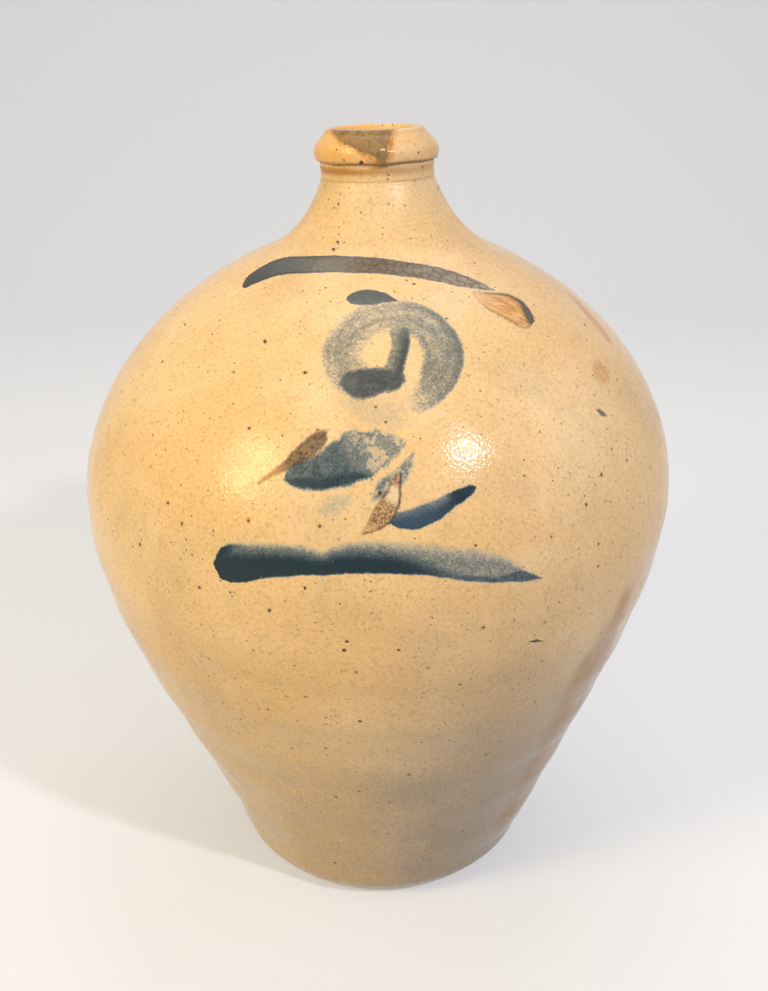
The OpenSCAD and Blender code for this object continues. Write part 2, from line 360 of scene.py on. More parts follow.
def throw_on_wheel(name, profile, steps):
    """A line of (radius, height) points, spun round the jug's axis into a closed skin."""
    placed = [(p.x, 0, p.y) for p in profile]
    piece = draw_line(name, placed[1:], placed[0])
    bpy.ops.mesh.select_all(action="SELECT")
    bpy.ops.mesh.spin(steps=steps, angle=2 * math.pi, center=(0, 0, 0), axis=(0, 0, 1))
    bpy.ops.mesh.select_all(action="SELECT")
    bpy.ops.mesh.remove_doubles(threshold=weld_distance)
    bpy.ops.mesh.normals_make_consistent(inside=False)
    bpy.ops.object.mode_set(mode="OBJECT")
    bpy.ops.object.shade_smooth()
    return piece


def read_points(piece):
    """A piece's vertices as an array."""
    points = np.empty(len(piece.data.vertices) * 3)
    piece.data.vertices.foreach_get("co", points)
    return points.reshape(-1, 3)


def write_points(piece, points):
    """Moves a piece's vertices to the array's places."""
    piece.data.vertices.foreach_set("co", points.reshape(-1))
    piece.data.update()


def round_axis(points):
    """Each point's angle round the jug's axis, from the front, and how far out it is."""
    return np.arctan2(points[:, 0], -points[:, 1]), np.hypot(points[:, 0], points[:, 1])


body_profile = [Vector((0, 0)), Vector((foot_radius * 0.5, 0))] + outside + inside
body_profile.append(Vector((0, floor_thickness)))
body = throw_on_wheel("jug_body", body_profile, steps_round)

# The glaze map runs round the jug and up its outside, in true metres from the middle of the front.
heights = np.array([p.y for p in outside])
radii = np.array([p.x for p in outside])
up_the_wall = np.concatenate([[0], np.cumsum(np.hypot(np.diff(heights), np.diff(radii)))])


def glaze_map(piece, points, around, up):
    """Writes a piece's own map from each point's angle and its distance up the wall."""
    chart = piece.data.uv_layers.new(name="glaze_map")
    corners = np.empty(len(piece.data.loops), dtype=np.int32)
    piece.data.loops.foreach_get("vertex_index", corners)
    angle = around[corners]
    for face in piece.data.polygons:
        loops = slice(face.loop_start, face.loop_start + face.loop_total)
        turned = angle[loops]
        if turned.max() - turned.min() > math.pi:
            turned[turned < 0] += 2 * math.pi
            angle[loops] = turned
    places = np.stack([angle * round_axis(points)[1][corners], up[corners]], axis=1)
    chart.data.foreach_set("uv", places.reshape(-1))


points = read_points(body)
around, reach = round_axis(points)
outer_reach = np.interp(points[:, 2], heights, radii)
is_inner = (reach < outer_reach - wall * 0.5) & (points[:, 2] > floor_thickness * 0.5)
up = np.interp(points[:, 2], heights, up_the_wall)
glaze_map(body, points, around, up)

# The jug leans: how far it stands to the right, in mm, at heights in mm.
lean_heights = (0, 50, 95, 147, 192, 232, 280, 322, 343)
lean_steps = (0.7, 2.2, 0.3, -0.9, 0.1, 0.5, 1.2, -0.3, -1.6)
lean_curve = np.polyfit(np.array(lean_heights) * mm / jug_height, lean_steps, 5)
lip_tilt = math.radians(1.7)
tilt_starts = (285 * mm, 326 * mm)
rings_start = (4 * mm, 20 * mm)
rings_fade = (120 * mm, 230 * mm)
rings_end = (225 * mm, 285 * mm)


def eased(value, low, high):
    """0 below low, 1 above high and smooth between."""
    share = np.clip((value - low) / (high - low), 0, 1)
    return share * share * (3 - 2 * share)


def potters_hand(points):
    """Moves points as the wet clay was moved: rings, a slight oval, a pinched neck and a lean."""
    side, reach = round_axis(points)
    height = points[:, 2]
    on_wall = eased(height, *rings_start) * (1 - eased(height, *rings_end))
    low = 1 - eased(height, *rings_fade)
    rings = ring_rise * np.sin(2 * np.pi * height / ring_pitch + side + 0.7 * np.sin(2 * side + 1))
    rings += fine_ring_rise * np.sin(2 * np.pi * height / fine_ring_pitch + side)
    oval = out_of_round * (0.6 * np.cos(2 * side + 0.9) + 0.4 * np.cos(3 * side + 19 * height))
    push = (rings * (0.25 + 0.75 * low) + oval) * on_wall
    push -= neck_pinch * np.exp(-((height - pinch_height) / pinch_spread) ** 2)
    moved = points * (1 + push / np.maximum(reach, 1e-9))[:, None]
    moved[:, 2] = height + moved[:, 0] * math.tan(lip_tilt) * eased(height, *tilt_starts)
    moved[:, 0] += np.polyval(lean_curve, height / jug_height) * mm
    return moved


write_points(body, potters_hand(points))

# Faces inside the mouth and hollow, and faces under the foot, have clay surfaces of their own.
is_under = points[:, 2] < 0.01 * mm
for face in body.data.polygons:
    if all(is_inner[i] for i in face.vertices):
        face.material_index = 1
    elif all(is_under[i] for i in face.vertices):
        face.material_index = 2


def put(tree, kind, **settings):
    """A new node of a kind, with its settings."""
    made = tree.nodes.new("ShaderNode" + kind)
    for name, value in settings.items():
        setattr(made, name, value)
    return made


def feed(socket, value):
    """Gives a socket a value, or joins it to another node's socket."""
    if isinstance(value, bpy.types.NodeSocket):
        socket.id_data.links.new(value, socket)
    else:
        socket.default_value = value


def tree_of(*values):
    """The node tree that the first socket among some values is in."""
    return next(value.id_data for value in values if isinstance(value, bpy.types.NodeSocket))


def calc(operation, *terms):
    """The result of a sum on numbers and sockets, one of them a socket at least."""
    made = put(tree_of(*terms), "Math", operation=operation)
    for socket, term in zip(made.inputs, terms):
        feed(socket, term)
    return made.outputs[0]


def times(*terms):
    return calc("MULTIPLY", *terms)


def times_plus(first, second, third):
    """The first times the second, plus the third."""
    return calc("MULTIPLY_ADD", first, second, third)


def plus(*terms):
    return calc("ADD", *terms)


def minus(*terms):
    return calc("SUBTRACT", *terms)


def over(*terms):
    return calc("DIVIDE", *terms)


def larger(*terms):
    return calc("MAXIMUM", *terms)


def smaller(*terms):
    return calc("MINIMUM", *terms)


def rise(value, low, high, to_low=0.0, to_high=1.0):
    """A value eased from one level to another as it passes from low to high."""
    made = put(value.id_data, "MapRange", interpolation_type="SMOOTHSTEP")
    for name, term in zip(("Value", "From Min", "From Max", "To Min", "To Max"),
                          (value, low, high, to_low, to_high)):
        feed(made.inputs[name], term)
    return made.outputs["Result"]


def tint(share, first, second):
    """Two colours mixed by a share."""
    made = put(tree_of(share, first), "Mix", data_type="RGBA")
    feed(made.inputs[0], share)
    feed(made.inputs[6], first)
    feed(made.inputs[7], second)
    return made.outputs[2]


def cloud(place, size, detail=3.0, roughness=0.55, kind="Fac"):
    """Soft noise with features of a size."""
    made = put(place.id_data, "TexNoise")
    feed(made.inputs["Vector"], place)
    feed(made.inputs["Scale"], 1 / size)
    feed(made.inputs["Detail"], detail)
    feed(made.inputs["Roughness"], roughness)
    return made.outputs[kind]


def new_group(name, inputs, outputs):
    """An empty shader group with named sockets, and its two end nodes."""
    group = bpy.data.node_groups.new(name, "ShaderNodeTree")
    for label, kind, value in inputs:
        socket = group.interface.new_socket(label, in_out="INPUT", socket_type="NodeSocket" + kind)
        if value is not None:
            socket.default_value = value
    for label, kind in outputs:
        group.interface.new_socket(label, in_out="OUTPUT", socket_type="NodeSocket" + kind)
    return group, group.nodes.new("NodeGroupInput"), group.nodes.new("NodeGroupOutput")


def use_group(group, **values):
    """A group placed in a material with its own values, one of them a socket at least."""
    made = put(tree_of(*values.values()), "Group")
    made.node_tree = group
    for name, value in values.items():
        feed(made.inputs[name], value)
    return made.outputs


# Salt glaze: thin glass with an orange-peel surface.
pore_size = 1.15 * mm
peel_fine = 0.8 * mm
peel_wide = 4.5 * mm
peel_group, given, result = new_group(
    "orange_peel",
    [("Place", "Vector", None), ("Pore", "Float", pore_size)],
    [("Height", "Float")],
)
place = given.outputs["Place"]
dimples = put(peel_group, "TexVoronoi", feature="SMOOTH_F1")
feed(dimples.inputs["Vector"], place)
feed(dimples.inputs["Scale"], over(1.0, given.outputs["Pore"]))
feed(dimples.inputs["Smoothness"], 0.7)
peel_height = times_plus(cloud(place, peel_fine, 3, 0.6), 0.4, dimples.outputs["Distance"])
peel_height = times_plus(cloud(place, peel_wide, 3, 0.5), 0.4, peel_height)
feed(result.inputs["Height"], peel_height)

# Iron in the clay melts out as dark specks with a rusty halo.
speck_wobble = 0.8 * mm
speck_edge = 0.08 * mm
least_speck = 0.06 * mm
least_haloed = 0.3 * mm
halo_width = 0.9 * mm
speck_group, given, result = new_group(
    "iron_specks",
    [("Place", "Vector", None), ("Spacing", "Float", 5 * mm), ("Largest", "Float", 0.6 * mm),
     ("Rarity", "Float", 0.5)],
    [("Mask", "Float"), ("Halo", "Float")],
)
place = given.outputs["Place"]
wobble = put(speck_group, "VectorMath", operation="MULTIPLY_ADD")
feed(wobble.inputs[0], cloud(place, speck_wobble, 2, 0.5, "Color"))
feed(wobble.inputs[1], (speck_wobble, speck_wobble, speck_wobble))
feed(wobble.inputs[2], place)
cells = put(speck_group, "TexVoronoi", feature="F1")
feed(cells.inputs["Vector"], wobble.outputs[0])
feed(cells.inputs["Scale"], over(1.0, given.outputs["Spacing"]))
draw = put(speck_group, "SeparateColor")
feed(draw.inputs[0], cells.outputs["Color"])
away = times(cells.outputs["Distance"], given.outputs["Spacing"])
speck_size = times(calc("POWER", draw.outputs[0], 2.0), given.outputs["Largest"])
speck_size = times(speck_size, calc("GREATER_THAN", draw.outputs[1], given.outputs["Rarity"]))
inward = minus(speck_size, away)
is_speck = calc("GREATER_THAN", speck_size, least_speck)
is_haloed = calc("GREATER_THAN", speck_size, least_haloed)
feed(result.inputs["Mask"], times(rise(inward, -least_speck, speck_edge), is_speck))
feed(result.inputs["Halo"], times(rise(inward, -halo_width, 0.1 * mm), is_haloed))

warm_clay = (0.73, 0.475, 0.215, 1)
pale_clay = (0.80, 0.57, 0.31, 1)
grey_clay = (0.41, 0.312, 0.205, 1)
flash_clay = (0.56, 0.255, 0.085, 1)
iron_dark = (0.06, 0.035, 0.02, 1)
iron_stain = (0.36, 0.19, 0.075, 1)
drift_size = 70 * mm
fleck_size = 7 * mm
grain_size = 1.3 * mm
# Specks in three sizes: how far apart they are, the largest one's radius, and the share left out.
speck_sizes = ((2.2 * mm, 0.46 * mm, 0.25), (6.5 * mm, 0.72 * mm, 0.35), (27 * mm, 1.3 * mm, 0.5))

clay_group, given, result = new_group(
    "fired_clay",
    [("Place", "Vector", None), ("Smoke", "Float", 0.0), ("Flash", "Float", 0.0),
     ("Speckle", "Float", 1.0)],
    [("Color", "Color"), ("Height", "Float"), ("Roughness", "Float")],
)
place = given.outputs["Place"]
drift = cloud(place, drift_size, 4, 0.6)
fleck = cloud(place, fleck_size, 5, 0.65)
grain = cloud(place, grain_size, 4, 0.75)
tone = tint(rise(drift, 0.38, 0.66), warm_clay, pale_clay)
tone = tint(given.outputs["Smoke"], tone, grey_clay)
tone = tint(given.outputs["Flash"], tone, flash_clay)
tone = tint(rise(fleck, 0.47, 0.72, 0.0, 0.22), tone, grey_clay)
tone = tint(rise(grain, 0.5, 0.7, 0.0, 0.5), tone, iron_stain)
tone = tint(rise(grain, 0.5, 0.33, 0.0, 0.45), tone, pale_clay)
small, middle, large = [
    use_group(speck_group, Place=place, Spacing=spacing, Largest=largest, Rarity=rarity)
    for spacing, largest, rarity in speck_sizes
]
halo = times(larger(middle["Halo"], large["Halo"]), given.outputs["Speckle"])
tone = tint(times(halo, 0.45), tone, iron_stain)
marks = larger(times(small["Mask"], 0.85), middle["Mask"])
marks = times(larger(marks, large["Mask"]), given.outputs["Speckle"])
tone = tint(times(marks, 0.9), tone, iron_dark)
peel = use_group(peel_group, Place=place)["Height"]
feed(result.inputs["Color"], tone)
feed(result.inputs["Height"], minus(peel, times(marks, 0.6)))
feed(result.inputs["Roughness"], rise(fleck, 0.35, 0.7, 0.13, 0.27))


glaze_shine = 0.22


def start_finish(name, piece):
    """A new node material on a piece: its tree, its shader and the piece's own coordinates."""
    finish = bpy.data.materials.new(name)
    finish.use_nodes = True
    piece.data.materials.append(finish)
    tree = finish.node_tree
    shader = tree.nodes["Principled BSDF"]
    shader.inputs["Specular IOR Level"].default_value = glaze_shine
    return tree, shader, put(tree, "TexCoord").outputs["Object"]


def set_finish(shader, colour, roughness, height, depth):
    """A finish's colour and roughness, and its bump: depth metres for a height of 1."""
    feed(shader.inputs["Base Color"], colour)
    feed(shader.inputs["Roughness"], roughness)
    bump = put(shader.id_data, "Bump")
    feed(bump.inputs["Height"], height)
    feed(bump.inputs["Distance"], depth)
    feed(shader.inputs["Normal"], bump.outputs["Normal"])


# The painting: a numeral 2 for two gallons between two bars, brushed in cobalt under the glaze.
# Each stroke has a start and an end on the glaze map, in mm, and a list of how its middle line
# leaves the straight way and how wide it is: (share of the way, offset, half width).
upper_bar = (
    (-64.4, 326.8), (48, 326.6),
    ((0, 1, 3), (0.012, 1.9, 4), (0.045, 5, 4.9), (0.08, 8.2, 5.4), (0.13, 11.9, 5.7), (0.21, 16, 5.6),
     (0.31, 18.6, 5.5), (0.42, 20.6, 5.4), (0.52, 20.7, 5.3), (0.63, 18.7, 5), (0.75, 14.5, 4.8),
     (0.85, 9, 4.2), (0.92, 5, 2.9), (0.97, 1.9, 1.6), (1, 0.3, 0.6)),
)
burnt_end = (
    (38.2, 326.8), (65.7, 307.3),
    ((0, 0, 1.2), (0.08, -0.5, 2.5), (0.27, -0.3, 4.8), (0.48, 0.6, 6.1), (0.67, 0.5, 6.4),
     (0.84, -0.3, 5.6), (0.95, -0.7, 3.6), (1, 0, 0.8)),
)
cap_stroke = (
    (-12.2, 326.7), (5.2, 326.2),
    ((0, -0.2, 1.6), (0.05, 0, 2.9), (0.2, 0.6, 3.9), (0.45, 1.2, 4.2), (0.75, 1, 2.9), (1, -0.3, 0.9)),
)
hook_down = (
    (6.9, 311.2), (1.9, 287.7),
    ((0, 0, 3.2), (0.08, 0.2, 3.8), (0.36, 1.6, 3.2), (0.68, 1.5, 3.3), (0.9, 0.6, 3.8), (1, 0, 2.6)),
)
hook_foot = (
    (7.2, 288.6), (-14.6, 286.6),
    ((0, 0, 2.2), (0.07, 0, 3.6), (0.35, -0.4, 5), (0.7, 0.5, 6.1), (0.9, 0, 4.6), (1, 0, 1.6)),
)
smear_stroke = (
    (-34.2, 249.6), (7, 264.5),
    ((0, 0, 1), (0.05, -0.1, 3), (0.16, -0.5, 5), (0.3, -1.4, 6.1), (0.49, -0.4, 7.9), (0.64, 0.4, 8.4),
     (0.78, 1.2, 7.9), (0.91, 0, 5.2), (1, 0, 1.6)),
)
brown_smear = (
    (-43.9, 247.4), (-19.8, 267.6),
    ((0, 0, 0.5), (0.16, -0.3, 0.9), (0.35, -0.9, 1.7), (0.55, -1.2, 2.8), (0.8, -0.9, 3.2),
     (0.93, -0.4, 2.4), (1, 0, 1)),
)
haze_stroke = ((-21, 239), (-11, 244), ((0, 0, 1.5), (0.5, 0.2, 3.5), (1, 0, 1.5)))
speckled_haze = ((-14, 281), (10, 272), ((0, 0, 2), (0.4, 0, 6.5), (0.8, 0, 6), (1, 0, 2)))
brown_tick = (
    (6.4, 253.2), (-5.9, 232.2),
    ((0, 0, 0.8), (0.08, 0.3, 1.8), (0.31, 2.2, 3.1), (0.56, 2.7, 4), (0.81, 2, 2.8), (1, 0, 0.5)),
)
grey_tick = ((11, 260), (-2, 244), ((0, 0, 0.6), (0.29, 1.3, 2.2), (0.72, 0.4, 3.4), (1, 0, 1.1)))
blue_tick = (
    (3.6, 236.5), (33.5, 246.5),
    ((0, 0, 1.2), (0.1, -0.8, 3), (0.29, -2, 3.9), (0.48, -2, 3.7), (0.71, -0.8, 2.8),
     (0.89, -0.2, 2.2), (0.97, 0.1, 1.7), (1, 0, 0.9)),
)
lower_bar = (
    (-61.6, 215.1), (61.5, 209.4),
    ((0, 0.3, 2), (0.004, 0.4, 3.2), (0.008, 0.5, 4), (0.016, 0.7, 5.3), (0.032, 1.2, 6.7),
     (0.05, 1.6, 7.2), (0.07, 2, 7.4), (0.1, 3, 7.4), (0.145, 4.8, 6.8), (0.19, 6.2, 6.4),
     (0.24, 7.3, 6), (0.29, 7.9, 5.4), (0.325, 7.8, 4.7), (0.37, 9.6, 5.5), (0.42, 10.9, 5.9),
     (0.58, 11.7, 6.1), (0.68, 10.3, 6), (0.76, 8.7, 6.4), (0.83, 7.1, 5.9), (0.89, 4.9, 4.5),
     (0.95, 2, 2.3), (1, 0, 0.4)),
)
ring_middle = (4.7, 299.6)
ring_range = 40

# Along a stroke: how strong its cobalt is, and for the lower bar and the smear how far across it
# is dark. Round the numeral's loop, by share of a turn: its outer and inner edge and its strength.
upper_bar_strength = (
    (0, 1), (0.08, 0.9), (0.16, 0.78), (0.24, 0.68), (0.42, 0.57), (0.62, 0.5), (0.8, 0.4),
    (0.92, 0.28), (1, 0.22),
)
ring_outer_line = (
    (0, 0.67), (0.1, 0.65), (0.2, 0.52), (0.25, 0.5), (0.31, 0.66), (0.38, 0.66), (0.48, 0.65),
    (0.6, 0.61), (0.7, 0.65), (0.8, 0.66), (0.9, 0.62), (1, 0.67),
)
ring_inner_line = (
    (0, 0.32), (0.1, 0.3), (0.2, 0.36), (0.3, 0.4), (0.4, 0.29), (0.5, 0.26), (0.6, 0.25), (0.75, 0.26),
    (0.87, 0.29), (1, 0.32),
)
ring_strength_line = (
    (0, 0.95), (0.1, 0.85), (0.18, 0.5), (0.25, 0.35), (0.31, 0.55), (0.42, 1), (0.7, 0.85),
    (0.9, 0.95), (1, 0.95),
)
smear_pool = ((0, 0.6), (0.2, 0.5), (0.4, 0.42), (0.55, 0.34), (0.65, 0.16), (0.75, 0), (1, 0))
smear_strength = ((0, 1), (0.45, 1), (0.6, 0.8), (0.75, 0.66), (1, 0.6))
lower_bar_dark = (
    (0, 0.9), (0.07, 0.82), (0.13, 0.76), (0.25, 0.7), (0.35, 0.66), (0.47, 0.64), (0.58, 0.52),
    (0.66, 0.38), (0.73, 0.24), (0.83, 0.1), (1, 0.12),
)
lower_bar_strength = ((0, 1), (0.5, 1), (0.7, 0.82), (0.85, 0.66), (1, 0.8))

# Rusty flashes from the kiln's fire on the right, a streak of smoke, a slit and a gouge. A spot is
# its place on the glaze map and its radius, in mm.
flash_streak = (
    (118, 185), (66, 36),
    ((0, 0, 4), (0.15, 0, 10), (0.3, 0, 16), (0.5, 0, 14), (0.65, 0, 12), (0.85, 0, 12), (0.96, 0, 11),
     (1, 0, 8)),
)
flash_high = ((110, 311), (127, 284), ((0, 0, 1.5), (0.3, 0.5, 4.5), (0.8, 0, 4.5), (1, 0, 2)))
flash_low = ((96.5, 280), (107, 274.5), ((0, 0, 2.5), (0.5, 0, 4.5), (1, 0, 2.5)))
smoke_streak = ((18, 44), (58, 108), ((0, 0, 7), (0.5, 0, 14), (1, 0, 7)))
slit = ((60, 181.5), (66, 180), ((0, 0, 0.1), (0.5, 0, 0.7), (1, 0, 0.1)))
gouge = ((92.1, 264.9), (98.6, 261), ((0, 0, 0.2), (0.4, 0, 1), (1, 0, 0.2)))
spots = (
    ((-19.4, 356), 0.9), ((-17.5, 360), 0.75), ((-45.5, 301.5), 0.9), ((12.7, 335), 0.8),
    ((-26, 211), 0.7), ((0, 246.5), 0.9), ((1.5, 272), 0.6), ((34.5, 226), 0.6),
    ((-11, 190), 0.8), ((-12, 186), 0.9), ((8, 186), 0.7), ((-19, 92), 0.8), ((-97, 299), 0.8),
    ((-17.5, 377), 0.5), ((-43, 149), 0.5),
)

ragged_mm = 1.3
wander_size = 4 * mm
fine_grain_size = 0.9 * mm
mottle_size = 3.2 * mm
blot_size = 6 * mm
smoke_size = 55 * mm
crackle_size = 3.4 * mm
bubble_glint_spacing = 2.6 * mm
bubble_glint_radius = 0.32 * mm
glaze_depth = 0.07 * mm
body_tree, body_shader, body_place = start_finish("salt_glazed_clay", body)
chart = put(body_tree, "UVMap", uv_map="glaze_map").outputs["UV"]
chart_parts = put(body_tree, "SeparateXYZ")
feed(chart_parts.inputs[0], chart)
wander_parts = put(body_tree, "SeparateColor")
feed(wander_parts.inputs[0], cloud(body_place, wander_size, 4, 0.65, "Color"))
grain_parts = put(body_tree, "SeparateColor")
feed(grain_parts.inputs[0], cloud(body_place, fine_grain_size, 3, 0.7, "Color"))


def ragged(flat, drift, grain):
    """A map coordinate in mm, blurred a little by noise, as a brush's edge is on rough clay."""
    in_mm = times(flat, 1 / mm)
    in_mm = times_plus(minus(drift, 0.5), ragged_mm, in_mm)
    return times_plus(minus(grain, 0.5), ragged_mm, in_mm)


across = ragged(chart_parts.outputs[0], wander_parts.outputs[0], grain_parts.outputs[0])
upwards = ragged(chart_parts.outputs[1], wander_parts.outputs[1], grain_parts.outputs[1])


def float_curve(value, points):
    """A smooth curve through points, both ways from 0 to 1."""
    made = put(value.id_data, "FloatCurve")
    line = made.mapping.curves[0]
    while len(line.points) < len(points):
        line.points.new(0.5, 0.5)
    for spot, (x, y) in zip(line.points, points):
        spot.location = (x, y)
        spot.handle_type = "AUTO_CLAMPED"
    made.mapping.update()
    feed(made.inputs["Value"], value)
    return made.outputs["Value"]


# A float curve goes from 0 to 1, so a stroke's offsets and half widths are scaled to that. In mm.
offset_range = 50
half_range = 16
end_blur = 0.8
least_half = 0.5


def brush(stroke):
    """One stroke: how far inside its edge a point is in mm, its share of the way along, and its
    share of the way across from -1 at the lower side to 1 at the upper."""
    (start_x, start_y), (end_x, end_y), line = stroke
    length = math.hypot(end_x - start_x, end_y - start_y)
    way_x, way_y = (end_x - start_x) / length, (end_y - start_y) / length
    from_x = minus(across, start_x)
    from_y = minus(upwards, start_y)
    way = times_plus(from_x, way_x, times(from_y, way_y))
    side = times_plus(from_y, way_x, times(from_x, -way_y))
    share = over(way, length)
    offsets = [(along_it, 0.5 + offset / offset_range) for along_it, offset, half in line]
    halves = [(along_it, half / half_range) for along_it, offset, half in line]
    offset = times(minus(float_curve(share, offsets), 0.5), offset_range)
    half = times(float_curve(share, halves), half_range)
    off = minus(side, offset)
    inside_edge = minus(half, calc("ABSOLUTE", off))
    past_start = plus(way, end_blur)
    past_end = minus(length + end_blur, way)
    inside_edge = smaller(inside_edge, smaller(past_start, past_end))
    cross = over(off, larger(half, least_half))
    return inside_edge, share, cross


thickness = 0.0


def paint(inside_edge, strength, soft=0.7):
    """Lays cobalt of a strength over what is there, fading out over the soft edge."""
    laid = times(rise(inside_edge, -soft, soft), strength)
    return larger(thickness, laid)


mottle = cloud(body_place, mottle_size, 5, 0.7)
blots = cloud(body_place, blot_size, 4, 0.65)
fine_mottle = grain_parts.outputs[2]

# The upper bar turns thin and brown to the right. Below it are the numeral's cap and a haze.
edge, share, cross = brush(upper_bar)
strength = float_curve(share, upper_bar_strength)
bar_brown = times(rise(share, 0.12, 0.5), rise(edge, 0.0, 0.8, 0.0, 0.46))
rim = times(rise(edge, 1.9, 0.5), rise(share, 0.8, 0.2, 0.1, 0.22))
thickness = paint(edge, plus(strength, rim), 0.55)
bar_end = times(rise(edge, -0.4, 0.8), rise(share, 0.3, 0.62))
edge, share, cross = brush(cap_stroke)
thickness = paint(edge, rise(cross, -1.0, 0.8, 0.68, 0.84), 0.6)
edge, share, cross = brush(speckled_haze)
thickness = paint(edge, 0.13, 3.5)

# The numeral's loop is a wide pale ring of brush streaks with a darker rim on its right.
ring_x = minus(across, ring_middle[0])
ring_y = minus(upwards, ring_middle[1])
ring_reach = calc("SQRT", times_plus(ring_x, ring_x, times(ring_y, ring_y)))
ring_turn = plus(over(calc("ARCTAN2", ring_y, ring_x), 2 * math.pi), 0.5)
ring_outer = times(float_curve(ring_turn, ring_outer_line), ring_range)
ring_inner = times(float_curve(ring_turn, ring_inner_line), ring_range)
ring_depth = minus(ring_outer, ring_reach)
ring_edge = smaller(ring_depth, times(minus(ring_reach, ring_inner), 0.5))
right_side = rise(ring_x, -6.0, 12.0)
rim = times(rise(ring_depth, 4.5, 1.2), right_side)
sweep = put(body_tree, "CombineXYZ")
feed(sweep.inputs[0], ring_reach)
feed(sweep.inputs[1], times(ring_turn, 16.0))
bristles = cloud(sweep.outputs[0], 3.6, 2, 0.5)
ring_strength = times_plus(rim, 0.12, rise(bristles, 0.3, 0.7, 0.25, 0.4))
ring_strength = times_plus(right_side, 0.04, ring_strength)
open_left = rise(ring_y, -27.0, -15.0, 0.3, 1.0)
open_left = larger(open_left, rise(ring_x, 0.0, 8.0))
open_left = times(open_left, float_curve(ring_turn, ring_strength_line))
ring_strength = times(ring_strength, open_left)
thickness = paint(times(ring_edge, rise(right_side, 0.0, 1.0, 0.45, 1.1)), ring_strength, 1.3)

# The hook inside the loop comes down and ends in a wide foot to the left.
edge, share, cross = brush(hook_down)
hook_strength = times(rise(cross, -0.6, 0.7, 0.38, 0.84), rise(share, 0.0, 0.25, 0.7, 1.0))
thickness = paint(edge, hook_strength, 0.9)
edge, share, cross = brush(hook_foot)
hook_strength = times_plus(rise(mottle, 0.42, 0.6), 0.08, rise(share, 1.0, 0.35, 0.64, 0.74))
thickness = paint(edge, hook_strength, 1.7)

# The numeral's foot is a smear, dark below and torn into blots to the right, and three ticks.
edge, share, cross = brush(smear_stroke)
torn = times(minus(blots, 0.5), rise(share, 0.3, 0.7, 2.0, 12.0))
edge = plus(edge, torn)
pooled = float_curve(share, smear_pool)
pooled = minus(times_plus(pooled, 2, -1), cross)
strength = times(rise(mottle, 0.36, 0.62, 0.84, 0.6), float_curve(share, smear_strength))
holes = times(rise(blots, 0.5, 0.56), rise(share, 0.5, 0.8, 0.0, 0.6))
strength = times(strength, minus(1.0, holes))
strength = larger(strength, rise(pooled, -0.5, 0.4, 0.0, 0.88))
thickness = paint(edge, strength, 1.1)
edge, share, cross = brush(haze_stroke)
thickness = paint(edge, 0.22, 3.0)
edge, share, cross = brush(grey_tick)
thickness = paint(edge, rise(mottle, 0.4, 0.6, 0.6, 0.2), 1.4)
edge, share, cross = brush(blue_tick)
strength = rise(cross, 0.95, -0.35, 0.42, 0.92)
strength = larger(strength, rise(share, 0.5, 0.8))
thickness = paint(edge, strength, 0.65)
blue_mask = times(rise(edge, -0.3, 1.0), rise(share, 0.8, 0.4))

# The lower bar is darkest along its lower side, fades upwards and ends in a long tip.
edge, share, cross = brush(lower_bar)
dark_top = times_plus(float_curve(share, lower_bar_dark), 2.2, -1.1)
strength = rise(minus(dark_top, cross), -1.15, 0.75)
strength = times(strength, float_curve(share, lower_bar_strength))
strength = larger(strength, rise(cross, 1.05, 0.1, 0.16, 0.46))
low_line = rise(minus(cross, rise(share, 0.85, 0.97, 0.0, 1.4)), -0.35, -0.8)
strength = larger(strength, times(low_line, 0.74))
strength = larger(strength, rise(share, 0.16, 0.02, 0.0, 0.95))
soft_top = times(rise(cross, -0.1, 0.6, 0.6, 2.0), rise(share, 0.02, 0.16, 0.4, 1.0))
thickness = paint(over(edge, soft_top), strength, 1.0)

# Thin cobalt is broken up by the clay's grain, and thick cobalt has a few tiny pale dots: bubbles that
# are partly painted glints.
broken = times_plus(minus(fine_mottle, 0.5), 0.8, times(minus(mottle, 0.5), 0.4))
thin = times(rise(thickness, 0.03, 0.25), rise(thickness, 1.0, 0.6, 0.35, 1.0))
thickness = times_plus(broken, thin, thickness)
bubbles_and_glints = use_group(
    speck_group, Place=body_place, Spacing=bubble_glint_spacing, Largest=bubble_glint_radius, Rarity=0.6
)["Mask"]

# Cobalt from thin to thick, then the burnt, blistered and stained places, and the painted shade, glints
# and highlight.
thin_cobalt = (0.41, 0.365, 0.27, 1)
grey_cobalt = (0.15, 0.165, 0.16, 1)
blue_cobalt = (0.06, 0.087, 0.103, 1)
deep_cobalt = (0.014, 0.03, 0.04, 1)
tick_cobalt = (0.045, 0.085, 0.135, 1)
scorched_clay = (0.33, 0.15, 0.012, 1)
shaded_clay = (0.21, 0.19, 0.185, 1)
burnt_orange = (0.48, 0.2, 0.05, 1)
burnt_pale = (0.68, 0.40, 0.17, 1)
burnt_brown = (0.15, 0.085, 0.045, 1)
crust_black = (0.035, 0.025, 0.02, 1)
crust_low = (0.025, 0.017, 0.012, 1)
crust_high = (0.17, 0.1, 0.055, 1)
crust_rim = (0.05, 0.03, 0.018, 1)
crust_tail = (0.42, 0.21, 0.07, 1)
blister_dark = (0.1, 0.05, 0.025, 1)
blister_pale = (0.5, 0.31, 0.14, 1)
blister_cream_highlight = (0.8, 0.6, 0.38, 1)
bubble_and_glint_white = (0.5, 0.5, 0.44, 1)
bar_umber = (0.17, 0.11, 0.05, 1)
olive_brown = (0.115, 0.09, 0.06, 1)
crackle_brown = (0.09, 0.055, 0.03, 1)
run_and_shade_brown = (0.42, 0.19, 0.04, 1)
gouge_grey = (0.07, 0.075, 0.07, 1)
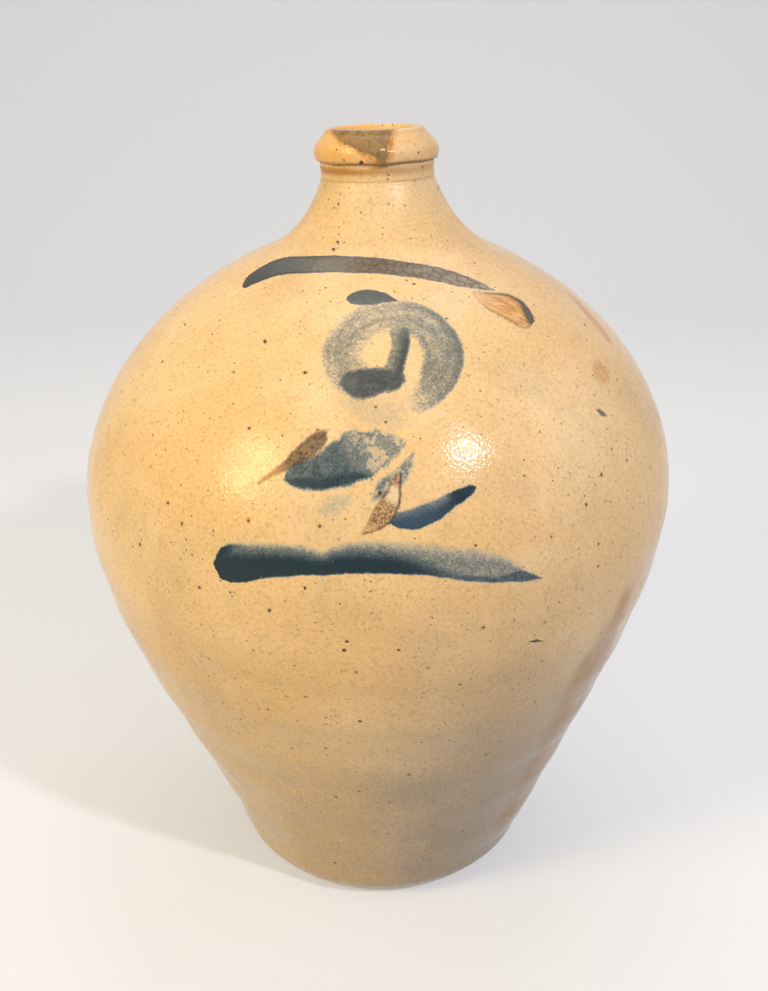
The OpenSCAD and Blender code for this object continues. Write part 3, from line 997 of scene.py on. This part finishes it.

# The fire flashed the right side rusty, and a streak and clouds of smoke greyed the clay. Low down, the
# clay is greyed by smoke and painted shade. The lower right side is greyed by painted shade.
edge, share, cross = brush(flash_streak)
scorching = times(rise(edge, -5.0, 6.0), rise(blots, 0.35, 0.6, 0.55, 0.75))
edge, share, cross = brush(flash_high)
flash = times(rise(edge, -1.5, 2.5), 0.85)
edge, share, cross = brush(flash_low)
flash = larger(flash, times(rise(edge, -2.0, 2.0), 0.65))
flash = times(flash, rise(blots, 0.35, 0.6, 0.72, 1.0))
edge, share, cross = brush(smoke_streak)
smoke_and_painted_shade = times(rise(edge, -9.0, 9.0), 0.5)
clouds = rise(cloud(body_place, smoke_size, 3, 0.5), 0.5, 0.75, 0.0, 0.35)
# Low down, and more so on the right and at the back, the clay greys: partly smoke, partly painted shade.
low_greying_range = (185.0, 45.0, 0.0, 0.7)
low_smoke_and_shade = times(rise(upwards, *low_greying_range), rise(across, -70.0, 20.0, 0.6, 1.0))
low_smoke_and_shade = larger(low_smoke_and_shade, times(rise(across, -130.0, -180.0), rise(upwards, *low_greying_range)))
# Painted shade greys the lower right side and fades out before the back.
side_painted_shade = times(rise(across, -5.0, 85.0, 0.0, 0.5), rise(upwards, 190.0, 90.0))
side_painted_shade = times(side_painted_shade, rise(across, 190.0, 110.0))
smoke_and_painted_shade = larger(smoke_and_painted_shade, plus(clouds, plus(low_smoke_and_shade, side_painted_shade)))
clay = use_group(clay_group, Place=body_place, Smoke=smoke_and_painted_shade, Flash=flash)
# Painted shade darkens the lower right side towards a neutral grey and fades out before the back.
shade = times(rise(across, -20.0, 50.0, 0.0, 0.36), rise(upwards, 240.0, 95.0))
shade = times(shade, rise(across, 185.0, 120.0))
colour = tint(shade, clay["Color"], shaded_clay)
colour = tint(scorching, colour, scorched_clay)
for from_thickness, to_thickness, cobalt in (
    (0.02, 0.3, thin_cobalt), (0.24, 0.56, grey_cobalt),
    (0.5, 0.8, blue_cobalt), (0.72, 0.98, deep_cobalt),
):
    colour = tint(rise(thickness, from_thickness, to_thickness), colour, cobalt)
# Pale dots on thick cobalt: bubbles, partly painted glints.
bubble_and_glint_share = times(times(bubbles_and_glints, rise(thickness, 0.3, 0.6)), 0.4)
colour = tint(bubble_and_glint_share, colour, bubble_and_glint_white)
colour = tint(bar_brown, colour, bar_umber)
olive = times(rise(thickness, 0.1, 0.4), rise(upwards, 262.0, 285.0, 0.0, 0.36))
colour = tint(olive, colour, olive_brown)
colour = tint(times(blue_mask, 0.6), colour, tick_cobalt)

# The bar's thin end blistered: fine dark crackle round pale cells.
crackle = put(body_tree, "TexVoronoi", feature="DISTANCE_TO_EDGE")
feed(crackle.inputs["Vector"], body_place)
feed(crackle.inputs["Scale"], 1 / crackle_size)
crackle_line = rise(crackle.outputs["Distance"], 0.17, 0.04)
crackle_line = times(crackle_line, rise(mottle, 0.38, 0.5, 0.25, 1.0))
colour = tint(times(times(bar_end, crackle_line), 0.85), colour, crackle_brown)

# Past the bar the brush left a patch that burnt orange, with a black rim and a blue tip.
edge, share, cross = brush(burnt_end)
burn = rise(edge, -0.7, 0.9)
grain_way = put(body_tree, "CombineXYZ")
feed(grain_way.inputs[0], times(share, 5.0))
feed(grain_way.inputs[1], times(cross, 5.0))
scratches = cloud(grain_way.outputs[0], 1.3, 4, 0.7)
scorch = tint(rise(scratches, 0.42, 0.6), burnt_orange, burnt_pale)
scorch = tint(rise(edge, 1.5, 0.2, 0.0, 0.6), scorch, burnt_brown)
scorch = tint(times(rise(edge, 2.2, 0.8), rise(cross, 0.1, 0.5, 0.0, 0.85)), scorch, crust_black)
colour = tint(times(burn, rise(share, 0.0, 0.4, 0.4, 0.92)), colour, scorch)
tip = rise(times_plus(cross, 0.2, share), 0.78, 0.9)
colour = tint(times(burn, tip), colour, tint(rise(scratches, 0.4, 0.6), blue_cobalt, burnt_brown))

# The smear's left is a brown crust, and the middle tick blistered round a cream patch that is partly a
# painted highlight.
edge, share, cross = brush(brown_smear)
edge = times_plus(minus(mottle, 0.5), rise(share, 0.2, 0.6, 1.5, 5.0), edge)
crust = rise(edge, -0.6, 0.8)
crust_tone = tint(rise(fine_mottle, 0.38, 0.62), crust_low, crust_high)
crust_tone = tint(rise(edge, 1.4, 0.3, 0.0, 0.7), crust_tone, crust_rim)
crust_tone = tint(rise(share, 0.45, 0.2), crust_tone, crust_tail)
colour = tint(times(crust, rise(mottle, 0.35, 0.6, 1.0, 0.8)), colour, crust_tone)
edge, share, cross = brush(brown_tick)
blister = rise(edge, -0.5, 0.7)
blister_tone = tint(rise(grain_parts.outputs[0], 0.4, 0.6), blister_dark, blister_pale)
# The cream patch on the blister is partly a painted highlight.
cream_and_highlight = times(rise(share, 0.1, 0.24), rise(share, 0.48, 0.36))
cream_and_highlight = times(cream_and_highlight, rise(edge, 0.6, 1.8))
blister_tone = tint(times(cream_and_highlight, 0.8), blister_tone, blister_cream_highlight)
blister_tone = tint(rise(share, 0.75, 0.95, 0.0, 0.7), blister_tone, burnt_pale)
outline = rise(edge, 1.2, 0.4)
blister_tone = tint(times(outline, rise(cross, -0.2, 0.6, 0.25, 0.9)), blister_tone, crust_black)
colour = tint(times(blister, 0.92), colour, blister_tone)

# Glaze ran together, brown, in the crease under the neck's bead and thinly in the drawn line, and the
# brown there is partly painted shade.
bead_way, line_way = (np.interp([bead_low, line_height], heights, up_the_wall) / mm).tolist()
from_bead = calc("ABSOLUTE", minus(upwards, bead_way + 0.6))
from_line = calc("ABSOLUTE", minus(upwards, line_way))
# Brown in the crease and the line: glaze run together, and painted shade.
crease_run_and_shade = times(rise(from_bead, 2.6, 0.3), rise(across, 24.0, -20.0, 0.35, 0.9))
crease_run_and_shade = larger(crease_run_and_shade, rise(from_line, 0.9, 0.1, 0.0, 0.3))
colour = tint(crease_run_and_shade, colour, run_and_shade_brown)
foot_flash = times(rise(upwards, 11.0, 1.0), rise(blots, 0.4, 0.6, 0.2, 0.75))
colour = tint(foot_flash, colour, flash_clay)

# Single dark spots, a gouge and a slit.
spot_mask = 0.0
for (spot_x, spot_y), spot_radius in spots:
    off_x = minus(across, spot_x)
    off_y = minus(upwards, spot_y)
    away = calc("SQRT", times_plus(off_x, off_x, times(off_y, off_y)))
    spot_mask = larger(spot_mask, rise(away, spot_radius * 1.25, spot_radius * 0.6))
edge, share, cross = brush(gouge)
colour = tint(rise(edge, -0.3, 0.3, 0.0, 0.85), colour, gouge_grey)
edge, share, cross = brush(slit)
spot_mask = larger(spot_mask, rise(edge, -0.3, 0.2))
colour = tint(times(spot_mask, 0.9), colour, iron_dark)

glaze_height = minus(clay["Height"], spot_mask)
crusty = larger(crust, blister)
glaze_height = times_plus(times(crusty, fine_mottle), 4.0, glaze_height)
dry_neck = rise(upwards, 348.0, 364.0, 0.0, 0.16)
roughness = plus(times_plus(crusty, 0.35, clay["Roughness"]), dry_neck)
set_finish(body_shader, colour, roughness, glaze_height, glaze_depth)

# Inside, the glaze never reached the clay, which fired browner.
hollow_brown = (0.16, 0.085, 0.04, 1)
hollow_depth = 0.12 * mm
inner_tree, inner_shader, inner_place = start_finish("bare_hollow_clay", body)
inner_clay = use_group(clay_group, Place=inner_place, Smoke=0.85, Speckle=0.5)
colour = tint(0.75, inner_clay["Color"], hollow_brown)
set_finish(inner_shader, colour, inner_clay["Roughness"], inner_clay["Height"], hollow_depth)

# The foot was cut from the wheel with a drawn wire, which leaves curved lines, and has no glaze.
wire_fineness = 90
wire_waver = 5
foot_depth = 0.25 * mm
foot_tree, foot_shader, foot_place = start_finish("bare_foot_clay", body)
foot_clay = use_group(clay_group, Place=foot_place, Smoke=0.7, Speckle=0.8)
wire = put(foot_tree, "TexWave", wave_type="BANDS", bands_direction="X")
feed(wire.inputs["Vector"], foot_place)
feed(wire.inputs["Scale"], wire_fineness)
feed(wire.inputs["Distortion"], wire_waver)
feed(wire.inputs["Detail"], 2)
feed(wire.inputs["Detail Scale"], 0.3)
wire_lines = wire.outputs["Fac"]
colour = tint(rise(wire_lines, 0.3, 0.8, 0.0, 0.3), foot_clay["Color"], iron_stain)
roughness = rise(wire_lines, 0, 1, 0.75, 0.9)
set_finish(foot_shader, colour, roughness, plus(wire_lines, foot_clay["Height"]), foot_depth)

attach(body, "root")
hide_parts("thrown_body")


# The folded lip: the neck's end turned outwards and folded down into a thick collar.
# Its lower edge wanders and droops where a drip of kiln ash ran over it at the front. The drip's
# place and half width are angles round the lip, in radians.
lip_radius = 26.6 * mm
lip_wide_height = 333.8 * mm
lip_top_radius = 21 * mm
lip_round = 1.6 * mm
hem_height = 330.6 * mm
hem_wave = 0.55 * mm
hem_droop = 1.1 * mm
hem_droop_width = 7 * mm
hem_droop_side = math.radians(3)
mouth_flare = 2.4 * mm
fold_gap = 0.15 * mm
hem_reach = 2.5 * mm
lip_outer_side = (seat_radius + 1 * mm, seat_radius + 3 * mm)
drip_rise = 0.45 * mm
drip_start = -0.42
drip_slant = 0.5
drip_half_width = 0.78
drip_narrowing = 0.62
drip_narrows = (0.15, 0.75)
seat_gap = 0.02 * mm
mouth_steps = 8
top_steps = 7
side_steps = 10
roll_steps = 9
lip_steps_round = 240

fold_inner = neck_radius + bead_rise + fold_gap
mouth_edge = Vector((mouth_radius + mouth_flare, jug_height))
mouth_curve = (
    Vector((mouth_radius, seat_top)),
    Vector((mouth_radius, seat_top + 1.4 * mm)),
    mouth_edge - Vector((1.0, 0.1)) * mm,
    mouth_edge,
)
top_out = Vector((lip_top_radius - lip_round, jug_height))
side_in = Vector((lip_top_radius + 0.15 * mm, jug_height - lip_round * 1.1))
top_curve = (top_out, top_out + Vector((1.1, 0)) * mm, side_in - Vector((0.35, -0.7)) * mm, side_in)
roll_top = Vector((lip_radius - 0.5 * mm, lip_wide_height + 1.6 * mm))
side_curve = (
    side_in,
    side_in + Vector((1.5, -1.5)) * mm,
    roll_top + Vector((-0.7, 1.5)) * mm,
    roll_top,
)
roll_low = Vector((lip_radius - 0.3 * mm, hem_height))
roll_curve = (
    roll_top,
    roll_top + Vector((0.75, -1.3)) * mm,
    roll_low + Vector((0.5, 1.0)) * mm,
    roll_low,
)
lip_profile = [
    Vector((seat_radius + seat_gap, shelf_height)),
    Vector((seat_radius + seat_gap, seat_top)),
]
lip_profile += along(mouth_curve, mouth_steps, 0) + [(mouth_edge + top_out) / 2]
lip_profile += along(top_curve, top_steps, 0) + along(side_curve, side_steps)
lip_profile += along(roll_curve, roll_steps)
lip_profile += [
    Vector((fold_inner, hem_height)),
    Vector((fold_inner, shelf_height - 0.5 * mm)),
    lip_profile[0],
]
lip = throw_on_wheel("folded_collar", lip_profile, lip_steps_round)

points = read_points(lip)
around, reach = round_axis(points)
low = 1 - eased(points[:, 2], hem_height, lip_wide_height + hem_reach)
is_outer = eased(reach, *lip_outer_side)
wander = 0.5 * np.sin(3 * around + 0.4) + 0.3 * np.sin(5 * around + 2.4) + 0.2 * np.sin(11 * around + 1.3)
droop = np.exp(-(((around - hem_droop_side) * lip_radius) / (hem_droop_width / 2)) ** 2)
points[:, 2] += low * is_outer * (hem_wave * wander - hem_droop * droop)
drip_way = np.clip((jug_height - points[:, 2]) / (jug_height - hem_height), 0, 1)
drip_middle = drip_start + drip_slant * drip_way
drip_half = drip_half_width - drip_narrowing * eased(drip_way, *drip_narrows)
drip = 1 - eased(np.abs(around - drip_middle), drip_half * 0.6, drip_half * 1.05)
dents = 0.12 * np.sin(4 * around + 2 + 300 * points[:, 2]) + 0.1 * np.sin(9 * around + 0.5)
swell = (drip * drip_rise * eased(drip_way, 0, 0.3) + dents * mm) * is_outer
points[:, :2] *= (1 + swell / np.maximum(reach, mm))[:, None]
glaze_map(lip, points, around, points[:, 2])
write_points(lip, potters_hand(points))

# Kiln ash ran down over the lip: its middle line and half width by the share of the way down,
# and the lip's colours. A spot is its place on the lip's map and its radius, in mm.
ash_drop_mm = 12.4
ash_middle_line = ((0, 0.33), (0.25, 0.38), (0.5, 0.45), (0.75, 0.55), (1, 0.56))
ash_middle_range = 40
ash_half_line = ((0, 0.75), (0.25, 0.56), (0.5, 0.38), (0.75, 0.18), (1, 0.07))
ash_half_range = 20
lip_fleck_size = 3 * mm
ragged_across_mm = 5.0
ragged_down_mm = 3.5
lip_depth = 0.09 * mm
ash_dark = (0.085, 0.058, 0.03, 1)
ash_pale = (0.235, 0.145, 0.062, 1)
ash_rust = (0.42, 0.17, 0.035, 1)
lip_orange = (0.7, 0.33, 0.06, 1)
lip_gold = (0.82, 0.44, 0.11, 1)
hem_brown = (0.2, 0.1, 0.04, 1)
spot_brown = (0.11, 0.05, 0.02, 1)
lip_spots = ((-6.2, 331.2, 1.0), (2.4, 328.8, 0.6), (-17, 336, 0.4), (19, 334, 0.5))

lip_tree, lip_shader, lip_place = start_finish("lip_glaze_with_ash", lip)
lip_parts = put(lip_tree, "SeparateXYZ")
feed(lip_parts.inputs[0], put(lip_tree, "UVMap", uv_map="glaze_map").outputs["UV"])
lip_wander = put(lip_tree, "SeparateColor")
feed(lip_wander.inputs[0], cloud(lip_place, wander_size, 4, 0.65, "Color"))
lip_across = times(lip_parts.outputs[0], 1 / mm)
lip_across = times_plus(minus(lip_wander.outputs[0], 0.5), ragged_across_mm, lip_across)
lip_drop = times_plus(lip_parts.outputs[1], 1 / mm, -jug_height / mm)
lip_drop = times_plus(minus(lip_wander.outputs[1], 0.5), ragged_down_mm, lip_drop)
down = times(lip_drop, -1 / ash_drop_mm)
ash_middle = float_curve(down, ash_middle_line)
ash_middle = times_plus(ash_middle, ash_middle_range, -ash_middle_range / 2)
ash_half = times(float_curve(down, ash_half_line), ash_half_range)
ash_edge = minus(ash_half, calc("ABSOLUTE", minus(lip_across, ash_middle)))
ash = rise(ash_edge, -0.5, 1.6)
ash_rim = times(rise(ash_edge, -3.6, -0.2), rise(ash_edge, 3.0, 0.6))
lip_warm = rise(lip_across, 8.0, -24.0, 0.05, 0.2)
lip_clay = use_group(clay_group, Place=lip_place, Smoke=0.05, Flash=lip_warm)
lip_fleck = cloud(lip_place, lip_fleck_size, 4, 0.7)
ash_tone = tint(rise(lip_fleck, 0.36, 0.62), ash_dark, ash_pale)
mottled = times(rise(lip_fleck, 0.44, 0.62), rise(lip_across, 14.0, -8.0, 0.2, 0.62))
colour = tint(mottled, lip_clay["Color"], lip_orange)
colour = tint(rise(lip_across, 12.0, -14.0, 0.1, 0.45), colour, lip_gold)
colour = tint(times(ash_rim, rise(lip_fleck, 0.36, 0.6, 0.35, 0.9)), colour, ash_rust)
colour = tint(times(ash, 0.82), colour, ash_tone)
hem_shade = rise(lip_parts.outputs[1], hem_height + 1.2 * mm, hem_height - 0.2 * mm, 0.0, 0.65)
colour = tint(hem_shade, colour, hem_brown)
lip_spot = 0.0
for spot_x, spot_z, spot_radius in lip_spots:
    off_x = times_plus(lip_parts.outputs[0], 1 / mm, -spot_x)
    off_y = times_plus(lip_parts.outputs[1], 1 / mm, -spot_z)
    away = calc("SQRT", times_plus(off_x, off_x, times(off_y, off_y)))
    lip_spot = larger(lip_spot, rise(away, spot_radius * 1.2, spot_radius * 0.6))
colour = tint(lip_spot, colour, spot_brown)
roughness = times_plus(ash, -0.08, lip_clay["Roughness"])
set_finish(lip_shader, colour, roughness, lip_clay["Height"], lip_depth)

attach(lip, "root")
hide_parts("folded_lip")


# The handle: a strap pulled by hand from a lump of wet clay, with a finger groove down its back.
# It springs from the neck under the lip, turns over and comes down on the shoulder behind.
strap_top_width = 34 * mm
strap_low_width = 30 * mm
strap_top_thickness = 13 * mm
strap_low_thickness = 10.5 * mm
strap_foot_out = belly.x * 0.687
strap_bulge = 9 * mm
strap_root_height = jug_height - 27 * mm
strap_climb = 21 * mm
strap_groove = 1.5 * mm
strap_groove_width = 9 * mm
root_clay = 3.2 * mm
root_clay_run = 11 * mm
tail_clay = 5 * mm
tail_clay_run = 14 * mm
strap_length = 112 * mm
strap_sides = 48
strap_stations = 72
strap_sink_radius = 18.5 * mm
rise_share = 26 / 38
corner_power = 0.72
drop_share = 0.565
climb_pull = 1.1
over_pull = 1.5
fall_pull = 0.5
foot_pull = 0.35
root_dip = 0.55

shoulder_line = along(shoulder_curve, 200, 0)
strap_foot_height = min(shoulder_line, key=lambda p: abs(p.x - strap_foot_out)).y
root_out = math.sqrt(neck_radius ** 2 - (strap_top_width / 2 + root_clay) ** 2)
root_sink = neck_radius - root_out
foot_sink = wall * 0.9
climb_way = Vector((1, 0.55))
foot_way = Vector((-math.sin(shoulder_slope), -math.cos(shoulder_slope)))
strap_root = Vector((root_out, strap_root_height - root_sink * root_dip))
strap_foot = Vector((strap_foot_out, strap_foot_height))
strap_drop = (strap_root_height - strap_foot_height) * drop_share
strap_reach = Vector((strap_foot_out + strap_bulge, strap_foot_height + strap_drop))
rise_curve = (
    strap_root,
    strap_root + climb_way * (root_sink + strap_climb * climb_pull),
    strap_reach + upright * strap_climb * over_pull,
    strap_reach,
)
fall_curve = (
    strap_reach,
    strap_reach - upright * strap_drop * fall_pull,
    strap_foot - foot_way * strap_drop * foot_pull,
    strap_foot + foot_way * foot_sink,
)


def strap_at(share):
    """The strap's middle line and its left side at a share of the way from the neck."""
    share = float(share)
    if share <= rise_share:
        return cubic(rise_curve, share / rise_share), cubic_side(rise_curve, share / rise_share)
    past = (share - rise_share) / (1 - rise_share)
    return cubic(fall_curve, past), cubic_side(fall_curve, past)


def strap_skin(shares, turns, grow):
    """Places on the strap: for each share of the way and turn round it, moved out by grow."""
    placed = np.empty((len(shares), 3))
    for i, (share, turn, out) in enumerate(zip(shares, turns, grow)):
        middle, side = strap_at(share)
        half_w = (strap_top_width + (strap_low_width - strap_top_width) * share) / 2 + out
        half_t = (strap_top_thickness + (strap_low_thickness - strap_top_thickness) * share) / 2 + out
        cosine, sine = math.cos(turn), math.sin(turn)
        sideways = half_w * math.copysign(abs(cosine) ** corner_power, cosine)
        dip = strap_groove * math.exp(-(sideways / (strap_groove_width / 2)) ** 2) if sine > 0 else 0
        off = half_t * math.copysign(abs(sine) ** corner_power, sine) - dip
        placed[i] = (sideways, middle.x + side.x * off, middle.y + side.y * off)
    return placed


def pull_tube(name, sides, stations):
    """A straight tube drawn out ring by ring, with its turn and its share of the way by vertex."""
    bpy.ops.object.select_all(action="DESELECT")
    bpy.ops.mesh.primitive_circle_add(vertices=sides, radius=1, fill_type="NOTHING", location=(0, 0, 0))
    piece = bpy.context.object
    piece.name = name
    bpy.ops.object.mode_set(mode="EDIT")
    bpy.ops.mesh.select_all(action="SELECT")
    for _ in range(stations):
        bpy.ops.mesh.extrude_edges_move(TRANSFORM_OT_translate={"value": (0, 0, 1)})
    bpy.ops.object.mode_set(mode="OBJECT")
    straight = read_points(piece)
    return piece, np.arctan2(straight[:, 1], straight[:, 0]), straight[:, 2] / stations


def close_ends(piece):
    """Fills a tube's open ends, then turns its faces outwards."""
    bpy.ops.object.select_all(action="DESELECT")
    piece.select_set(True)
    bpy.context.view_layer.objects.active = piece
    bpy.ops.object.mode_set(mode="EDIT")
    bpy.ops.mesh.select_all(action="SELECT")
    bpy.ops.mesh.fill_holes(sides=0)
    bpy.ops.mesh.select_all(action="SELECT")
    bpy.ops.mesh.normals_make_consistent(inside=False)
    bpy.ops.object.mode_set(mode="OBJECT")
    bpy.ops.object.shade_smooth()


handle, turns, shares = pull_tube("pulled_strap", strap_sides, strap_stations)
points = strap_skin(shares, turns, np.zeros(len(shares)))
drawn = 0.22 * np.sin(points[:, 0] / (1.15 * mm) + 2 * shares)
drawn += 0.14 * np.sin(points[:, 0] / (0.7 * mm) + 1)
drawn += 0.35 * np.sin(9 * shares + 1) * np.cos(turns) + 0.25 * np.sin(23 * shares)
swell = drawn * mm * eased(shares, 0, 0.1) * (1 - eased(shares, 0.9, 1))
points = strap_skin(shares, turns, swell)
reach = round_axis(points)[1]
deep = reach < strap_sink_radius
points[deep, :2] *= (strap_sink_radius / reach[deep])[:, None]
chart = handle.data.uv_layers.new(name="strap_map")
corners = np.empty(len(handle.data.loops), dtype=np.int32)
handle.data.loops.foreach_get("vertex_index", corners)
lengthwise = shares * strap_length
chart.data.foreach_set("uv", np.stack([points[corners, 0], lengthwise[corners]], axis=1).reshape(-1))
write_points(handle, potters_hand(points))
close_ends(handle)

pull_line_size = 1.6 * mm
flashed_size = 22 * mm
pull_depth = 0.2 * mm
handle_tree, handle_shader, handle_place = start_finish("strap_glaze", handle)
strap_parts = put(handle_tree, "SeparateXYZ")
feed(strap_parts.inputs[0], put(handle_tree, "UVMap", uv_map="strap_map").outputs["UV"])
pull = put(handle_tree, "CombineXYZ")
feed(pull.inputs[0], strap_parts.outputs[0])
feed(pull.inputs[1], times(strap_parts.outputs[1], 0.08))
pull_lines = cloud(pull.outputs[0], pull_line_size, 4, 0.6)
flashed = rise(cloud(handle_place, flashed_size, 3, 0.5), 0.42, 0.66, 0.0, 0.45)
strap_clay = use_group(clay_group, Place=handle_place, Smoke=0.12, Flash=flashed)
colour = tint(rise(pull_lines, 0.5, 0.7, 0.0, 0.4), strap_clay["Color"], iron_stain)
height = times_plus(pull_lines, 2.5, strap_clay["Height"])
set_finish(handle_shader, colour, strap_clay["Roughness"], height, pull_depth)

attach(handle, "root")
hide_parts("strap_handle")


# The joints: soft clay wiped round both ends of the strap with a wet finger.
# The collar at the neck is thin, and the one on the shoulder is thicker and pressed out wide.
wipe_rows = 26
wipe_sides = 96
thinnest = 0.25 * mm
wall_at_way = 0.75
flare_ways = (0.72, 0.95)
turn_in_way = 0.99
turn_in = 1.5 * mm
lump_share = 0.14
spread_share = 0.3
least_cover = 0.3 * mm
edge_over_mm = 0.5
edge_sink_mm = 2.2
least_behind = 8 * mm
root_spread = 2.5 * mm
tail_spread = 4 * mm
pooled_size = 12 * mm
finger_fineness = 160
finger_waver = 6
finger_depth = 0.2 * mm
depth_axis = 1
height_axis = 2
under_bead = bead_low - 0.6 * mm
belly_row = heel_steps + wall_steps
narrowing = slice(belly_row, belly_row + shoulder_steps + neck_steps - 2)


def wall_behind(points):
    """How far back the neck's wall is, level with each point and as far to its side."""
    wall_reach = np.interp(points[:, 2], heights, radii)
    return np.sqrt(np.maximum(wall_reach ** 2 - points[:, 0] ** 2, least_behind ** 2))


def wall_below(points):
    """How high the shoulder is under each point."""
    return np.interp(-round_axis(points)[1], -radii[narrowing], heights[narrowing])


def wipe_clay(name, at_wall, on_strap, thickest, spread, axis, wall_at):
    """A collar of clay: thin on the strap, thick at the wall, flared out onto it and turned in."""
    piece, turns, ways = pull_tube(name, wipe_sides, wipe_rows)
    near = np.clip(ways / wall_at_way, 0, 1)
    flare = eased(ways, *flare_ways)
    turned_in = ways > turn_in_way
    lumps = 0.5 * np.sin(3 * turns + 1) + 0.3 * np.sin(7 * turns + 2.2) + 0.2 * np.sin(13 * turns)
    grow = (thinnest + (thickest - thinnest) * near ** 1.8) * (1 + lump_share * lumps * near)
    grow[turned_in] = -turn_in
    points = strap_skin(on_strap + (at_wall - on_strap) * near, turns, grow)
    middle = np.array([0, *strap_at(at_wall)[0]])
    out = points - middle
    out /= np.maximum(np.linalg.norm(out, axis=1), 1e-9)[:, None]
    loose = ~turned_in
    points[loose] += (out * (spread * flare * (1 + spread_share * lumps))[:, None])[loose]
    points[:, 2] = np.minimum(points[:, 2], under_bead)
    surface = wall_at(points)
    landed = surface + (edge_over_mm - edge_sink_mm * flare) * mm
    clear = np.maximum(points[:, axis], surface + least_cover)
    points[loose, axis] = np.where(flare > 0.02, landed, clear)[loose]
    write_points(piece, potters_hand(points))
    close_ends(piece)
    return piece


walk_steps = 400
joint_clear = 1.5 * mm
strap_walk = [i / walk_steps for i in range(walk_steps + 1)]
leaves_neck = min(s for s in strap_walk if strap_at(s)[0].x > neck_radius + joint_clear)
meets_shoulder = max(s for s in strap_walk if strap_at(s)[0].y > strap_foot_height + joint_clear)
upper_wipe = wipe_clay("upper_joint_wipe", leaves_neck, leaves_neck + root_clay_run / strap_length,
                       root_clay, root_spread, depth_axis, wall_behind)
lower_wipe = wipe_clay("lower_joint_wipe", meets_shoulder, meets_shoulder - tail_clay_run / strap_length,
                       tail_clay, tail_spread, height_axis, wall_below)

for wipe, name, replaced in (
    (upper_wipe, "upper_wiped_clay", "upper_joint_clay"),
    (lower_wipe, "lower_wiped_clay", "lower_joint_clay"),
):
    wipe_tree, wipe_shader, wipe_place = start_finish(name, wipe)
    pooled = rise(cloud(wipe_place, pooled_size, 4, 0.6), 0.4, 0.66, 0.0, 0.6)
    wiped_look = use_group(clay_group, Place=wipe_place, Smoke=0.15, Flash=pooled)
    finger = put(wipe_tree, "TexWave", wave_type="BANDS", bands_direction="Z")
    feed(finger.inputs["Vector"], wipe_place)
    feed(finger.inputs["Scale"], finger_fineness)
    feed(finger.inputs["Distortion"], finger_waver)
    feed(finger.inputs["Detail Scale"], 0.6)
    finger_lines = finger.outputs["Fac"]
    colour = tint(rise(finger_lines, 0.5, 0.0, 0.0, 0.25), wiped_look["Color"], iron_stain)
    height = times_plus(finger_lines, 1.2, wiped_look["Height"])
    set_finish(wipe_shader, colour, wiped_look["Roughness"], height, finger_depth)
    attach(wipe, "root")
    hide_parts(replaced)
